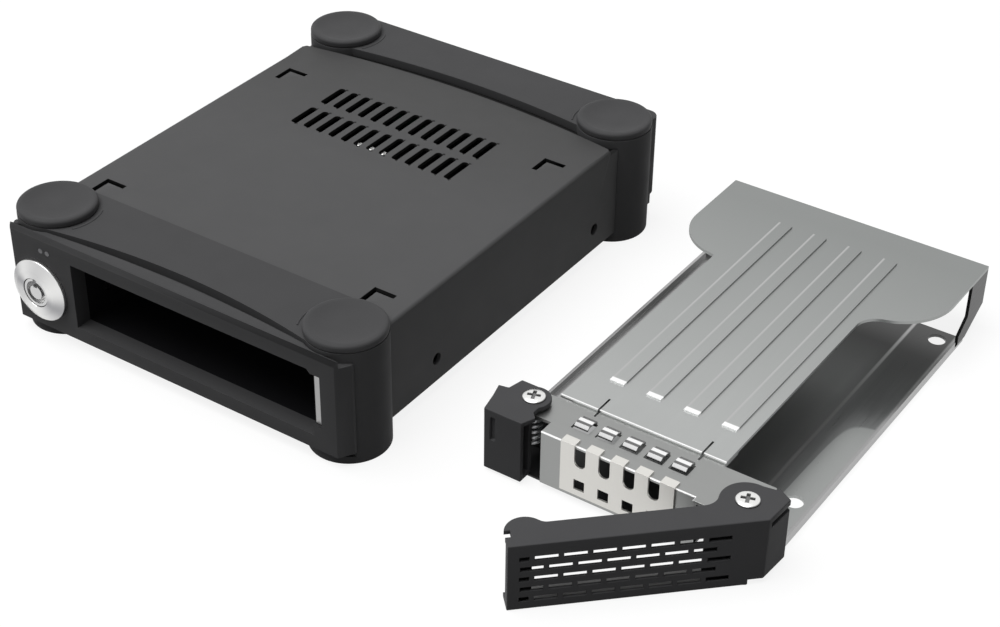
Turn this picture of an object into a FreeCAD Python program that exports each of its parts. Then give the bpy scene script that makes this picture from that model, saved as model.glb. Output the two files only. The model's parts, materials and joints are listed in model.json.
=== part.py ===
import FreeCAD, Part
import os
import re
import Sketcher
from FreeCAD import Placement, Rotation, Vector

# A rugged hot swap cage for one 2.5 inch drive, standing beside its drawn tray.
# Millimetres. X runs across the cage, Y from the bezel to the rear, Z up.
# The origin is the middle of the chassis underside; the feet reach below it.

DRIVING = {
    # the drive and the sheet round it
    "drive_width": 69.85, "drive_gap": 0.275, "drive_hole_inset": 4.065, "drive_hole_spacing": 76.6,
    "drive_hole_rear": 14.7, "drive_hole_radius": 2.2,
    # chassis: what stands left of, right of, under and over the bay
    "lock_column": 20.3, "bay_wall": 7.6, "bay_sill": 4.3, "bay_roof": 4.5, "cage_depth": 137.8,
    "tray_side_gap": 0.85, "lever_gap": 0.25,
    "cover_sheet": 1.0, "pan_sheet": 1.0, "pan_wall": 4.0, "sheet_gap": 0.1, "seat_gap": 0.3,
    "through": 1.0, "running_gap": 0.06, "rear_inset": 0.8,
    "side_hole_radius": 1.6, "side_hole_height": 6.5, "side_hole_reach": 8.0,
    "side_hole_rear": 29.7, "side_hole_spacing": 70.4,
    # vents and lanced notches in the cover
    "vent_length": 9.4, "vent_width": 2.2, "vent_pitch": 4.13, "vent_count": 13,
    "vent_row_pitch": 12.6, "vent_rear": 47.8, "vent_side": -0.8,
    "notch_size": 6.4, "notch_leg": 1.5, "notch_inset": 8.6, "notch_front": 26.5, "notch_rear": 39.1,
    # front bezel, with the shelf that the front bumper's strap lies on
    "bezel_overhang": 1.4, "bezel_depth": 4.4, "bezel_foot": 0.5, "bezel_corner": 2.2, "bezel_cheek": 3.6,
    "crest_rise": 0.4, "crest_round": 1.4, "crest_end": 0.6, "crest_dip": 3.7,
    "shelf_drop": 1.5, "shelf_depth": 4.0, "shelf_thick": 1.5, "scallop_gap": 0.5,
    "bay_chamfer": 1.2, "claw_slot_width": 2.5, "claw_slot_low": 7.2, "claw_slot_top": 1.0,
    # bay cradle and strike strip
    "cradle_sheet": 0.8, "cradle_gap": 0.2, "cradle_rise": 0.8, "cradle_foot_width": 6.0,
    "cradle_foot_length": 8.0, "cradle_foot_front": 8.0, "cradle_foot_rear": 20.0, "claw_room": 11.0,
    "strike_sheet": 0.8, "strike_setback": 0.8,
    # lock and status lights
    "lock_inset": 9.3, "lock_height": 11.6, "lock_rim_radius": 8.4, "lock_rim_proud": 2.4,
    "lock_rim_bevel": 1.6, "lock_body_radius": 5.4, "lock_body_length": 11.0,
    "lock_plug_radius": 3.8, "lock_plug_recess": 0.3, "key_ring_outer": 3.1, "key_ring_inner": 1.9,
    "key_depth": 5.0, "key_notch": 1.2, "key_notch_reach": 2.4, "lock_nut_radius": 6.9,
    "lock_nut_thick": 2.0, "lock_square": 4.0, "lock_cam_reach": 14.0, "lock_cam_width": 5.0,
    "lock_cam_foot": 4.2, "lock_cam_thick": 1.4, "cam_screw_radius": 3.0, "cam_screw_thick": 1.6,
    "light_radius": 0.7, "light_drop": 4.1, "light_offset": 1.2, "light_pitch": 2.2,
    # bumpers and pads
    "column_radius": 10.0, "pad_side_inset": 6.1, "pad_end_inset": 11.4, "strap_thick": 1.0,
    "front_strap_end": 1.6, "front_strap_dip": 4.9, "front_strap_inner": 22.0,
    "rear_strap_end": 19.2, "rear_strap_dip": 3.8, "recess_end": 22.9, "recess_dip": 4.4,
    "heel_thick": 1.4, "heel_foot": 4.5, "heel_corner": 3.0,
    "pad_radius": 9.95, "pad_proud": 2.0,
    # rear panel and electronics
    "board_thick": 1.6, "board_length": 66.0, "board_lift": 1.2, "board_gap": 0.2, "board_free": 0.4,
    "board_post_rear": 20.0, "board_post_front": 60.0,
    "screw_radius": 1.5, "board_screw_head": 2.7, "board_screw_thick": 1.2, "standoff_radius": 2.4,
    "jack_width": 9.0, "jack_height": 11.0, "jack_depth": 14.0, "jack_bore_radius": 3.2,
    "jack_pin_radius": 1.0, "jack_inset": 0.6, "jack_clearance": 0.7, "jack_wall": 3.0,
    "jack_pin_recess": 2.0,
    "usb_width": 12.4, "usb_height": 4.4, "usb_depth": 7.2, "usb_wall": 0.4, "usb_recess": 0.5,
    "usb_offset": 22.0, "usb_level": 10.0, "usb_tongue": 1.2, "usb_tongue_inset": 2.0, "port_gap": 0.3,
    "switch_width": 14.6, "switch_height": 9.2, "switch_depth": 12.0, "switch_lip": 0.5,
    "rocker_inset": 1.2, "rocker_room": 4.0, "rocker_width": 9.6, "rocker_height": 6.0,
    "rocker_pin_radius": 0.8, "pin_reach": 1.0, "rocker_hollow": 18.0, "rocker_crest": 1.9,
    "rocker_tilt": 2.1,
    "backplane_thick": 1.6, "socket_width": 43.0, "socket_height": 5.2, "socket_depth": 4.2,
    "socket_wall": 1.0, "socket_lift": 1.6, "tongue_thick": 1.2, "tongue_left": 3.0,
    "tongue_short": 10.6, "tongue_long": 20.6, "link_depth": 5.0, "link_height": 4.6, "link_lap": 4.0,
    # where the tray stands
    "tray_rest_gap": 23.7, "tray_rest_back": 2.9, "ground_drop": 3.0,
    # tray: floor plate, rails' edges and top plate
    "tray_sheet": 0.8, "tray_height": 16.8, "tray_length": 105.9, "base_rear": 10.5, "base_step": 1.1,
    "lip_height": 1.6, "lip_short": 5.0,
    "neck_left_inset": 13.2, "neck_right_inset": 15.8, "shoulder_left": 35.9, "shoulder_right": 42.1,
    "shoulder_end": 21.0, "shoulder_inner_left": 1.0, "shoulder_inner_right": 6.0,
    "rib_pitch": 9.8, "rib_width": 3.8, "rib_rise": 0.4, "rib_rear": 12.5, "rib_front": 10.8,
    "rib_count": 4, "rib_middle": 0.2,
    "flange_top": 9.5, "flange_foot": 14.0, "flange_step": 6.0, "flange_toe": 2.4, "flange_heel": 5.0,
    "slit_width": 0.5, "slit_left": 12.6, "slit_right": 14.3, "slit_back": 4.9, "slit_front": 1.7,
    # tray: front bracket, grille and contact fingers
    "bracket_reach": 13.2, "bracket_lap": 5.9, "bracket_foot": 1.5, "foot_lap": 3.0,
    "left_wing_inset": 5.0, "right_wing_inset": 3.0, "post_left_inset": 16.5, "post_right_inset": 15.9,
    "left_wing_front": 4.1, "right_wing_front": 1.2, "wing_back": 0.4, "post_lap": 1.0,
    "collar_radius": 3.2,
    "grille_middle": 0.65, "grille_sheet": 0.5, "grille_tooth": 3.9, "grille_hook": 2.0,
    "slot_pitch": 6.3, "slot_width": 2.9, "slot_count": 4, "slot_floor": 10.7, "grille_foot": 2.7,
    "square_hole": 2.8, "square_height": 5.7,
    "finger_pitch": 6.3, "finger_width": 3.7, "finger_length": 4.2, "finger_rise": 1.0,
    "finger_sheet": 0.4, "finger_slope": 0.8, "finger_foot": 0.6, "finger_setback": 5.7,
    "finger_count": 5, "window_margin": 0.5,
    # lever
    "lever_height": 17.8, "pivot_inset": 5.3, "pivot_setback": 3.6, "latch_room": 4.3,
    "lever_front": 6.9, "lever_wall": 0.7, "lever_depth": 6.9, "lever_top": 1.2, "lever_open": 43.9,
    "boss_radius": 6.2, "boss_fillet": 4.0, "boss_end_x": 4.6, "ear_x": 7.1,
    "ear_y": 2.5, "lever_heel": 3.0, "lobe_radius": 4.6, "lobe_fillet": 2.5, "lobe_notch": 1.4,
    "lobe_notch_front": 3.2, "lobe_notch_width": 2.2, "floor_short": 5.0,
    "floor_depth": 4.7, "cheek_depth": 2.6, "heel_step": 1.5, "heel_step_length": 3.6,
    "claw_reach": 9.2, "claw_nose": 5.7, "claw_tail": 3.8, "claw_lean": 0.5, "claw_wall": 1.2,
    "lever_slot_length": 5.1, "lever_slot_width": 1.3, "lever_slot_pitch": 6.2, "lever_slot_rows": 5,
    "lever_slot_row_pitch": 2.77, "lever_slot_lowest": 2.8, "lever_slot_start": 2.5,
    "lever_slot_reach": 48.5, "lever_slot_first": 5.8, "wing_clearance": 0.3,
    # latch block
    "block_inset": 9.5, "block_setback": 7.7, "block_height": 16.9, "block_front": 9.8,
    "block_left": 7.0, "block_right": 3.1, "block_wall": 1.2, "block_boss": 4.1, "block_tail": 5.8,
    "tooth_front": 6.3, "tooth_half": 1.5, "block_back": 3.9, "tail_side": 6.7,
    "tail_front": 0.2, "block_nose": 9.2, "nose_side": 8.1, "nose_front": 4.6,
    "nose_back": 0.7, "block_spine": 6.4, "block_floor": 4.0, "lens_slot_width": 1.2,
    "lens_slot_height": 6.4, "lens_slot_depth": 0.7, "lens_slot_side": 1.8, "lens_slot_low": 8.6,
    # screws and light pipe
    "pivot_head_radius": 3.0, "pivot_head_thick": 0.25, "pipe_width": 1.2, "pipe_length": 8.0,
    "pipe_height": 1.0,
}

doc = FreeCAD.newDocument("drive_cage")
sheet = doc.addObject("Spreadsheet::Sheet", "Dims")
sheet.Label = "driving dimensions"
for row, (alias, size) in enumerate(DRIVING.items(), start=1):
    sheet.set(f"A{row}", alias)
    sheet.set(f"B{row}", str(size))
    sheet.setAlias(f"B{row}", alias)
doc.recompute()

NODES = []


# ---------------------------------------------------------------- tools

def in_sheet(word):
    """A driving dimension's name as an expression outside the sheet spells it."""
    return f"Dims.{word}" if word in DRIVING else word


def number(expression):
    """The value of an expression on the driving dimensions."""
    return float(sheet.evalExpression(str(expression)))


def count(name):
    """A driving dimension that counts pieces."""
    return int(number(name))


def bind(thing, prop, expression):
    """Bind a property to an expression written with the sheet's aliases."""
    thing.setExpression(prop, re.sub(r"[a-z_]+", lambda word: in_sheet(word.group()), str(expression)))


def place(thing, corner, rotation=None):
    """Put a primitive's own origin at a corner given as three expressions."""
    for axis, expression in zip("xyz", corner):
        bind(thing, f"Placement.Base.{axis}", expression)
    if rotation is not None:
        thing.Placement.Rotation = rotation


def box(size, corner):
    """A block of a size, from its lowest corner."""
    thing = doc.addObject("Part::Box", "Box")
    for prop, expression in zip(("Length", "Width", "Height"), size):
        bind(thing, prop, expression)
    place(thing, corner)
    return thing


def span_box(across, along, height):
    """A block given by its two ends on each axis."""
    ends = (across, along, height)
    return box([f"({high}) - ({low})" for low, high in ends], [low for low, high in ends])


TURNS = {"X": Rotation(Vector(0, 1, 0), 90), "Y": Rotation(Vector(1, 0, 0), -90), "Z": Rotation()}


def rod(radius, length, start, axis="Z"):
    """A cylinder that grows from its start along an axis."""
    thing = doc.addObject("Part::Cylinder", "Rod")
    bind(thing, "Radius", radius)
    bind(thing, "Height", length)
    place(thing, start, TURNS[axis])
    return thing


def cone(radius_start, radius_end, length, start, axis="Z"):
    """A cone frustum that grows from its start along an axis."""
    thing = doc.addObject("Part::Cone", "Cone")
    bind(thing, "Radius1", radius_start)
    bind(thing, "Radius2", radius_end)
    bind(thing, "Height", length)
    place(thing, start, TURNS[axis])
    return thing


def hexagon(radius, length, start, axis="Z"):
    """A six-sided prism that grows from its start along an axis."""
    thing = doc.addObject("Part::Prism", "Prism")
    thing.Polygon = 6
    bind(thing, "Circumradius", radius)
    bind(thing, "Height", length)
    place(thing, start, TURNS[axis])
    return thing


def fuse(*parts):
    if len(parts) == 1:
        return parts[0]
    thing = doc.addObject("Part::MultiFuse", "Fuse")
    thing.Shapes = list(parts)
    thing.Refine = True
    return thing


def cut(base, *tools):
    thing = doc.addObject("Part::Cut", "Cut")
    thing.Base = base
    thing.Tool = fuse(*tools)
    thing.Refine = True
    return thing


def common(*parts):
    thing = doc.addObject("Part::MultiCommon", "Common")
    thing.Shapes = list(parts)
    return thing


def group(*parts):
    """Several separate solids that share one node."""
    thing = doc.addObject("Part::Compound", "Group")
    thing.Links = list(parts)
    return thing


def turned(thing, pivot, degrees):
    """Turn a finished sub-part about a vertical axis through a pivot."""
    holder = group(thing)
    holder.Placement = Placement(Vector(), Rotation(Vector(0, 0, 1), number(degrees)))
    bind(holder, "Placement.Rotation.Angle", degrees)
    x, y = pivot
    bind(holder, "Placement.Base.x", f"{x} - {x} * cos({degrees}) + {y} * sin({degrees})")
    bind(holder, "Placement.Base.y", f"{y} - {x} * sin({degrees}) - {y} * cos({degrees})")
    return holder


def node(label, thing):
    """Name a finished sub-part: its label is its file's name."""
    thing.Label = label
    NODES.append(thing)
    return thing


def outline_pad(name, plane, offset, corners, length):
    """A body padded from a closed outline. A corner is (x, y), or (x, y, centre, way)
    where an arc about the centre leads to the next corner."""
    body = doc.addObject("PartDesign::Body", name)
    sketch = body.newObject("Sketcher::SketchObject", f"{name}_outline")
    origin_plane = next(f for f in body.Origin.OriginFeatures if f.Role == plane)
    sketch.AttachmentSupport = [(origin_plane, "")]
    sketch.MapMode = "FlatFace"
    bind(sketch, "AttachmentOffset.Base.z", offset)
    points = [Vector(number(c[0]), number(c[1]), 0) for c in corners]
    starts, ends, centres = [], [], []
    for index, corner in enumerate(corners):
        here, there = points[index], points[(index + 1) % len(points)]
        if len(corner) == 2:
            edge = sketch.addGeometry(Part.LineSegment(here, there), False)
            starts.append((edge, 1))
            ends.append((edge, 2))
            continue
        middle = Vector(number(corner[2][0]), number(corner[2][1]), 0)
        circle = Part.Circle(middle, Vector(0, 0, 1), (here - middle).Length)
        first, last = (here, there) if corner[3] == "ccw" else (there, here)
        arc = Part.ArcOfCircle(circle, circle.parameter(first), circle.parameter(last))
        edge = sketch.addGeometry(arc, False)
        starts.append((edge, 1 if corner[3] == "ccw" else 2))
        ends.append((edge, 2 if corner[3] == "ccw" else 1))
        across = there - here
        centres.append((edge, corner[2], middle, abs(across.x) < abs(across.y)))
    for index, end in enumerate(ends):
        nearby = starts[(index + 1) % len(starts)]
        sketch.addConstraint(Sketcher.Constraint("Coincident", *end, *nearby))
    for start, corner, point in zip(starts, corners, points):
        pin_down(sketch, start, corner[0], point.x, "DistanceX")
        pin_down(sketch, start, corner[1], point.y, "DistanceY")
    for edge, centre, middle, sideways in centres:
        if sideways:
            pin_down(sketch, (edge, 3), centre[0], middle.x, "DistanceX")
        else:
            pin_down(sketch, (edge, 3), centre[1], middle.y, "DistanceY")
    pad = body.newObject("PartDesign::Pad", f"{name}_pad")
    pad.Profile = sketch
    bind(pad, "Length", length)
    doc.recompute()
    return body


def pin_down(sketch, point, expression, size, kind):
    """Hold one coordinate of a sketch point at an expression."""
    constraint = sketch.addConstraint(Sketcher.Constraint(kind, -1, 1, *point, size))
    bind(sketch, f"Constraints[{constraint}]", expression)


def bow_centre(half, end, dip):
    """Centre of the arc that joins two points at an end line, half a span either side of the
    middle, and swells backwards by a dip."""
    return "0", f"{end} + {dip} - (({half}) * ({half}) + {dip} * {dip}) / (2 * {dip})"


def bowed_slab(name, half, end, dip, back, low, high):
    """Everything behind a bowed front edge, between two heights."""
    return outline_pad(name, "XY_Plane", low, [
        (half, end, bow_centre(half, end, dip), "ccw"), (f"0 - {half}", end),
        (f"0 - {half}", back), (half, back),
    ], f"{high} - {low}")


# ---------------------------------------------------------------- places that sub-parts share

TRAY_WIDTH = "(drive_width + 2 * (drive_gap + tray_sheet))"
BAY_WIDTH = f"({TRAY_WIDTH} + 2 * tray_side_gap)"
BAY_TOP = "(bay_sill + lever_height + 2 * lever_gap)"
TOP = f"({BAY_TOP} + bay_roof)"
SIDE = f"((lock_column + {BAY_WIDTH} + bay_wall) / 2)"
FRONT = "(0 - cage_depth / 2)"
REAR = "(cage_depth / 2)"
BAY_LEFT = f"(lock_column - {SIDE})"
BAY_RIGHT = f"({SIDE} - bay_wall)"
BAY_MIDDLE = f"(({BAY_LEFT} + {BAY_RIGHT}) / 2)"
BEZEL_BACK = f"({FRONT} + bezel_depth)"
SHELF_BACK = f"({BEZEL_BACK} + shelf_depth)"
SHELF_TOP = f"({TOP} - shelf_drop)"
CREST = f"({TOP} + crest_rise)"
SHEET_BACK = f"({REAR} - rear_inset)"
SKIRT_INNER = f"({SIDE} - cover_sheet)"
WALL_OUTER = f"({SKIRT_INNER} - sheet_gap)"
WALL_INNER = f"({WALL_OUTER} - pan_sheet)"
STEP_LOW = f"({SHELF_TOP} - cover_sheet)"
STRAP_TOP = f"({TOP} + strap_thick)"
PAD_SIDE = f"({SIDE} - pad_side_inset)"
PAD_END = "(cage_depth / 2 - pad_end_inset)"
CLAW_SLOT_HIGH = f"({BAY_TOP} - claw_slot_top)"
CRADLE_LEFT = f"({BAY_LEFT} - cradle_gap)"
CRADLE_RIGHT = f"({BAY_RIGHT} + cradle_gap)"
CRADLE_LOW = "(bay_sill - cradle_gap)"
LOCK_X = f"(lock_inset - {SIDE})"
CAM_FRONT = f"({FRONT} + lock_body_length + seat_gap)"
PANEL_INNER = f"({SHEET_BACK} - cover_sheet)"
BACKPLANE_Y = f"({SHEET_BACK} - usb_recess - usb_depth - backplane_thick)"
BACKPLANE_LEFT = f"({CRADLE_LEFT} - cradle_sheet)"
BOARD_LEFT = f"(board_gap - {WALL_INNER})"
BOARD_RIGHT = f"({BACKPLANE_LEFT} - board_free)"
BOARD_X = f"(({BOARD_LEFT} + {BOARD_RIGHT}) / 2)"
BOARD_LOW = "(pan_sheet + board_lift)"
BOARD_TOP = f"({BOARD_LOW} + board_thick)"
BOARD_REAR = f"({PANEL_INNER} - sheet_gap)"
JACK_X = f"({BOARD_LEFT} + jack_inset + jack_width / 2)"
JACK_Z = f"({BOARD_TOP} + jack_height - jack_width / 2)"
USB_X = f"({BAY_MIDDLE} - usb_offset)"
SWITCH_X = f"({BOARD_LEFT} + jack_inset + switch_width / 2)"
SWITCH_Z = f"({BOARD_TOP} + jack_height + seat_gap + switch_height / 2)"
ROCKER_Y = f"({REAR} - rocker_inset)"
WAYS = [(-1, -1, "front_left"), (1, -1, "front_right"), (-1, 1, "rear_left"), (1, 1, "rear_right")]

TRAY_X = f"({SIDE} + tray_rest_gap + {TRAY_WIDTH} / 2)"
TRAY_REAR = f"({REAR} + tray_rest_back)"
TRAY_LEFT = f"({TRAY_X} - {TRAY_WIDTH} / 2)"
TRAY_RIGHT = f"({TRAY_X} + {TRAY_WIDTH} / 2)"
TRAY_LOW = "(0 - ground_drop)"
TRAY_FLOOR = f"({TRAY_LOW} + tray_sheet)"
TRAY_TOP = f"({TRAY_LOW} + tray_height)"
BRACKET_TOP = f"({TRAY_TOP} - tray_sheet)"
FLANGE_LOW = f"({BRACKET_TOP} - tray_sheet)"
LEVER_TOP = f"({TRAY_LOW} + lever_height)"
PLATE_FRONT = f"({TRAY_REAR} - tray_length)"
BASE_FRONT = f"({PLATE_FRONT} - base_step)"
BRACKET_FRONT = f"({PLATE_FRONT} - bracket_reach)"
POST_LEFT = f"({TRAY_LEFT} + post_left_inset)"
POST_RIGHT = f"({TRAY_RIGHT} - post_right_inset)"
PIVOT = (f"({TRAY_RIGHT} - pivot_inset)", f"({BRACKET_FRONT} + pivot_setback)")
BLOCK = (f"({TRAY_LEFT} + block_inset)", f"({BRACKET_FRONT} + block_setback)")
GRILLE_WIDTH = "(slot_count * slot_pitch + grille_tooth)"
GRILLE_LEFT = f"({TRAY_X} + grille_middle - {GRILLE_WIDTH} / 2)"
COLLAR_TOP = f"({LEVER_TOP} - lever_top - running_gap)"
FINGER_FRONT = f"({BRACKET_FRONT} + finger_setback)"


# ---------------------------------------------------------------- cage

def side_holes(sign):
    """Bores for the two side bolts through one skirt of the cover."""
    for back in ("side_hole_rear", "side_hole_rear + side_hole_spacing"):
        start = f"{sign} * {SIDE} - side_hole_reach / 2"
        yield rod("side_hole_radius", "side_hole_reach", (start, f"{REAR} - ({back})", "side_hole_height"), "X")


def board_posts(shape, radius, length, start):
    """A rod or a hexagon at each of the main board's two screws."""
    return [shape(radius, length, (BOARD_X, f"{BOARD_REAR} - {inset}", start))
            for inset in ("board_post_rear", "board_post_front")]


def pan():
    """Folded floor pan with low side walls inside the cover's skirts and the board's stand-offs."""
    floor = span_box((f"0 - {WALL_OUTER}", WALL_OUTER), (BEZEL_BACK, SHEET_BACK), ("0", "pan_sheet"))
    sides = [span_box(across, (BEZEL_BACK, SHEET_BACK), ("0", "pan_wall"))
             for across in ((f"0 - {WALL_OUTER}", f"0 - {WALL_INNER}"), (WALL_INNER, WALL_OUTER))]
    return fuse(floor, *sides, *board_posts(hexagon, "standoff_radius", "board_lift", "pan_sheet"))


def cover():
    """Folded lid: flat top that steps down under the rear strap, two skirts, two rows of vent
    slots and four lanced notches."""
    shell = cut(span_box((f"0 - {SIDE}", SIDE), (BEZEL_BACK, SHEET_BACK), ("sheet_gap", TOP)),
                span_box((f"0 - {SKIRT_INNER}", SKIRT_INNER), (FRONT, REAR), ("0", f"{TOP} - cover_sheet")))
    step = bowed_slab("Step", SIDE, f"{REAR} - recess_end - cover_sheet", "recess_dip", SHEET_BACK, STEP_LOW, TOP)
    over = f"{TOP} + through"
    under = f"{TOP} - cover_sheet - through"
    tools = [
        bowed_slab("Recess", SIDE, f"{REAR} - recess_end", "recess_dip", REAR, SHELF_TOP, over),
        span_box((f"0 - {SIDE} - through", f"{SIDE} + through"), (FRONT, SHELF_BACK), (SHELF_TOP, over)),
        *side_holes(-1), *side_holes(1),
    ]
    for row in (-1, 1):
        for column in range(count("vent_count")):
            middle = f"(({column} - (vent_count - 1) / 2) * vent_pitch + vent_side)"
            along = f"({REAR} - vent_rear + {row} * vent_row_pitch / 2)"
            tools.append(span_box((f"{middle} - vent_width / 2", f"{middle} + vent_width / 2"),
                                  (f"{along} - vent_length / 2", f"{along} + vent_length / 2"), (under, over)))
    for side in (-1, 1):
        for along in (f"({FRONT} + notch_front)", f"({REAR} - notch_rear)"):
            left = f"({side} * ({SIDE} - notch_inset) - notch_size / 2)"
            near, far = f"({along} - notch_size / 2)", f"({along} + notch_size / 2)"
            tools.append(span_box((left, f"{left} + notch_leg"), (near, far), (under, over)))
            tools.append(span_box((left, f"{left} + notch_size"), (f"{far} - notch_leg", far), (under, over)))
    return cut(fuse(shell, step), *tools)


def bezel():
    """Moulded front frame: a rolled crest with a bowed rear edge, a shelf under the bumper's strap,
    scallops round the columns, the bay's mouth with its claw slot, the lock's hole and light holes."""
    half = f"({SIDE} + bezel_overhang)"
    flat = f"({half} - bezel_corner)"
    cheek = f"{FRONT} + bezel_cheek"
    body = outline_pad("Bezel", "XY_Plane", "bezel_foot", [
        (f"0 - {flat}", FRONT), (flat, FRONT), (half, cheek), (half, BEZEL_BACK),
        (f"0 - {half}", BEZEL_BACK), (f"0 - {half}", cheek),
    ], f"{CREST} - bezel_foot")
    behind = bowed_slab("Crest", half, f"{FRONT} + crest_end", "crest_dip", BEZEL_BACK, SHELF_TOP, CREST)
    roll_y, roll_z = f"({FRONT} + crest_round)", f"({CREST} - crest_round)"
    roll = cut(span_box((f"0 - {half}", half), (FRONT, roll_y), (roll_z, CREST)),
               rod("crest_round", f"2 * {half}", (f"0 - {half}", roll_y, roll_z), "X"))
    lip = f"({SKIRT_INNER} - sheet_gap)"
    shelf = span_box((f"0 - {lip}", lip), (BEZEL_BACK, SHELF_BACK), (f"{SHELF_TOP} - shelf_thick", SHELF_TOP))
    before = f"{FRONT} - through"
    mouth = outline_pad("Mouth", "XZ_Plane", f"0 - ({BEZEL_BACK} + through)", [
        (BAY_LEFT, "bay_sill"), (BAY_RIGHT, "bay_sill"), (BAY_RIGHT, f"{BAY_TOP} - bay_chamfer"),
        (f"{BAY_RIGHT} - bay_chamfer", BAY_TOP), (BAY_LEFT, BAY_TOP),
    ], "bezel_depth + 2 * through")
    claw_slot = span_box((f"{BAY_RIGHT} - through", f"{BAY_RIGHT} + claw_slot_width"),
                         (before, f"{BEZEL_BACK} + through"), ("claw_slot_low", CLAW_SLOT_HIGH))
    bore = "bezel_depth + 2 * through"
    holes = [rod("lock_body_radius + sheet_gap", bore, (LOCK_X, before, "lock_height"), "Y")]
    holes += [rod("light_radius + sheet_gap", bore, (x, before, z), "Y") for x, z in light_spots()]
    scallops = [rod("column_radius + scallop_gap", f"{CREST} + through - {SHELF_TOP}",
                    (f"{x} * {PAD_SIDE}", f"0 - {PAD_END}", SHELF_TOP)) for x in (-1, 1)]
    return cut(fuse(body, shelf), behind, roll, mouth, claw_slot, *holes, *scallops)


def light_spots():
    """Middles of the two status lights, over the lock."""
    for index in (0, 1):
        yield f"{LOCK_X} + light_offset + {index} * light_pitch", f"{TOP} - light_drop"


def bumper(way):
    """Rubber bumper over one end: a waisted strap above and below and a half-round column down
    each side, whose lower end is the foot. The rear one also wraps the corners."""
    low = "(0 - strap_thick)"
    pad_y = f"({way} * {PAD_END})"
    columns = []
    for x in (-1, 1):
        columns.append(rod("column_radius", f"{STRAP_TOP} - {low} + pad_proud",
                           (f"{x} * {PAD_SIDE}", pad_y, f"{low} - pad_proud")))
    if way < 0:
        half = f"({SIDE} + bezel_overhang + sheet_gap)"
        strap = bowed_slab("Strap", PAD_SIDE, f"{FRONT} + front_strap_end", "front_strap_dip",
                           f"{FRONT} + front_strap_inner", low, STRAP_TOP)
        return cut(fuse(strap, *columns),
                   span_box((f"0 - {SIDE}", SIDE), (FRONT, SHELF_BACK), ("0", SHELF_TOP)),
                   span_box((f"0 - {SIDE}", SIDE), (SHELF_BACK, "0"), ("0", TOP)),
                   span_box((f"0 - {half}", half), (FRONT, f"{BEZEL_BACK} + sheet_gap"), (low, SHELF_TOP)))
    strap = bowed_slab("Strap", PAD_SIDE, f"{REAR} - rear_strap_end", "rear_strap_dip", REAR, low, STRAP_TOP)
    outer = f"({SIDE} + heel_thick)"
    inner = f"({outer} - heel_corner)"
    bend = f"({REAR} - heel_corner)"
    heels = []
    for x, way_round in ((-1, "cw"), (1, "ccw")):
        centre = (f"{x} * {inner}", bend)
        heels.append(outline_pad("Heel", "XY_Plane", "heel_foot", [
            (f"{x} * {PAD_SIDE}", pad_y), (f"{x} * {outer}", pad_y),
            (f"{x} * {outer}", bend, centre, way_round), (f"{x} * {inner}", REAR),
            (f"{x} * {PAD_SIDE}", REAR),
        ], f"{STRAP_TOP} - heel_foot"))
    return cut(fuse(strap, *columns, *heels),
               span_box((f"0 - {SIDE}", SIDE), ("0", SHEET_BACK), ("0", SHELF_TOP)),
               span_box((f"0 - {WALL_INNER}", WALL_INNER), ("0", f"{REAR} + through"), ("0", SHELF_TOP)))


def top_pad(x, y):
    """Round rubber pad on a bumper's column."""
    return rod("pad_radius", "pad_proud", (f"{x} * {PAD_SIDE}", f"{y} * {PAD_END}", STRAP_TOP))


def lock_barrel():
    """Lock body with a bevelled rim in front of the bezel."""
    face = f"({FRONT} - lock_rim_proud)"
    rim = cone("lock_rim_radius - lock_rim_bevel", "lock_rim_radius", "lock_rim_bevel",
               (LOCK_X, face, "lock_height"), "Y")
    collar = rod("lock_rim_radius", "lock_rim_proud - lock_rim_bevel",
                 (LOCK_X, f"{face} + lock_rim_bevel", "lock_height"), "Y")
    shank = rod("lock_body_radius", "lock_body_length", (LOCK_X, FRONT, "lock_height"), "Y")
    bore = rod("lock_plug_radius + running_gap", "lock_body_length + lock_rim_proud",
               (LOCK_X, face, "lock_height"), "Y")
    return cut(fuse(rim, collar, shank), bore)


def lock_plug():
    """Turning plug with the ring keyway, its notch and the square that carries the cam."""
    face = f"({FRONT} - lock_rim_proud + lock_plug_recess)"
    spot = (LOCK_X, face, "lock_height")
    core = rod("lock_plug_radius", f"{CAM_FRONT} - {face}", spot, "Y")
    ring = cut(rod("key_ring_outer", "key_depth", spot, "Y"), rod("key_ring_inner", "key_depth", spot, "Y"))
    notch = box(("key_notch", "key_depth", "key_notch_reach"),
                (f"{LOCK_X} - key_notch / 2", face, "lock_height + lock_plug_radius - key_notch_reach"))
    return fuse(cut(core, ring, notch), cam_square())


def cam_square():
    """The square on the plug's end, also the hole it fills in the cam."""
    return box(("lock_square", "lock_cam_thick", "lock_square"),
               (f"{LOCK_X} - lock_square / 2", CAM_FRONT, "lock_height - lock_square / 2"))


def lock_cam():
    """Flat round-ended cam on the plug's square. It points up when unlocked, and a quarter turn
    swings it through the cradle's window, behind the latch block's nose."""
    spot = (LOCK_X, CAM_FRONT, "lock_height")
    blade = common(box(("lock_cam_width", "lock_cam_thick", "lock_cam_reach"),
                       (f"{LOCK_X} - lock_cam_width / 2", CAM_FRONT, "lock_height")),
                   rod("lock_cam_reach", "lock_cam_thick", spot, "Y"))
    return cut(fuse(blade, rod("lock_cam_foot", "lock_cam_thick", spot, "Y")), cam_square())


def lock_nut():
    """Hexagon nut that draws the lock's body against the bezel's back."""
    spot = (LOCK_X, BEZEL_BACK, "lock_height")
    return cut(hexagon("lock_nut_radius", "lock_nut_thick", spot, "Y"),
               rod("lock_body_radius", "lock_nut_thick", spot, "Y"))


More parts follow.
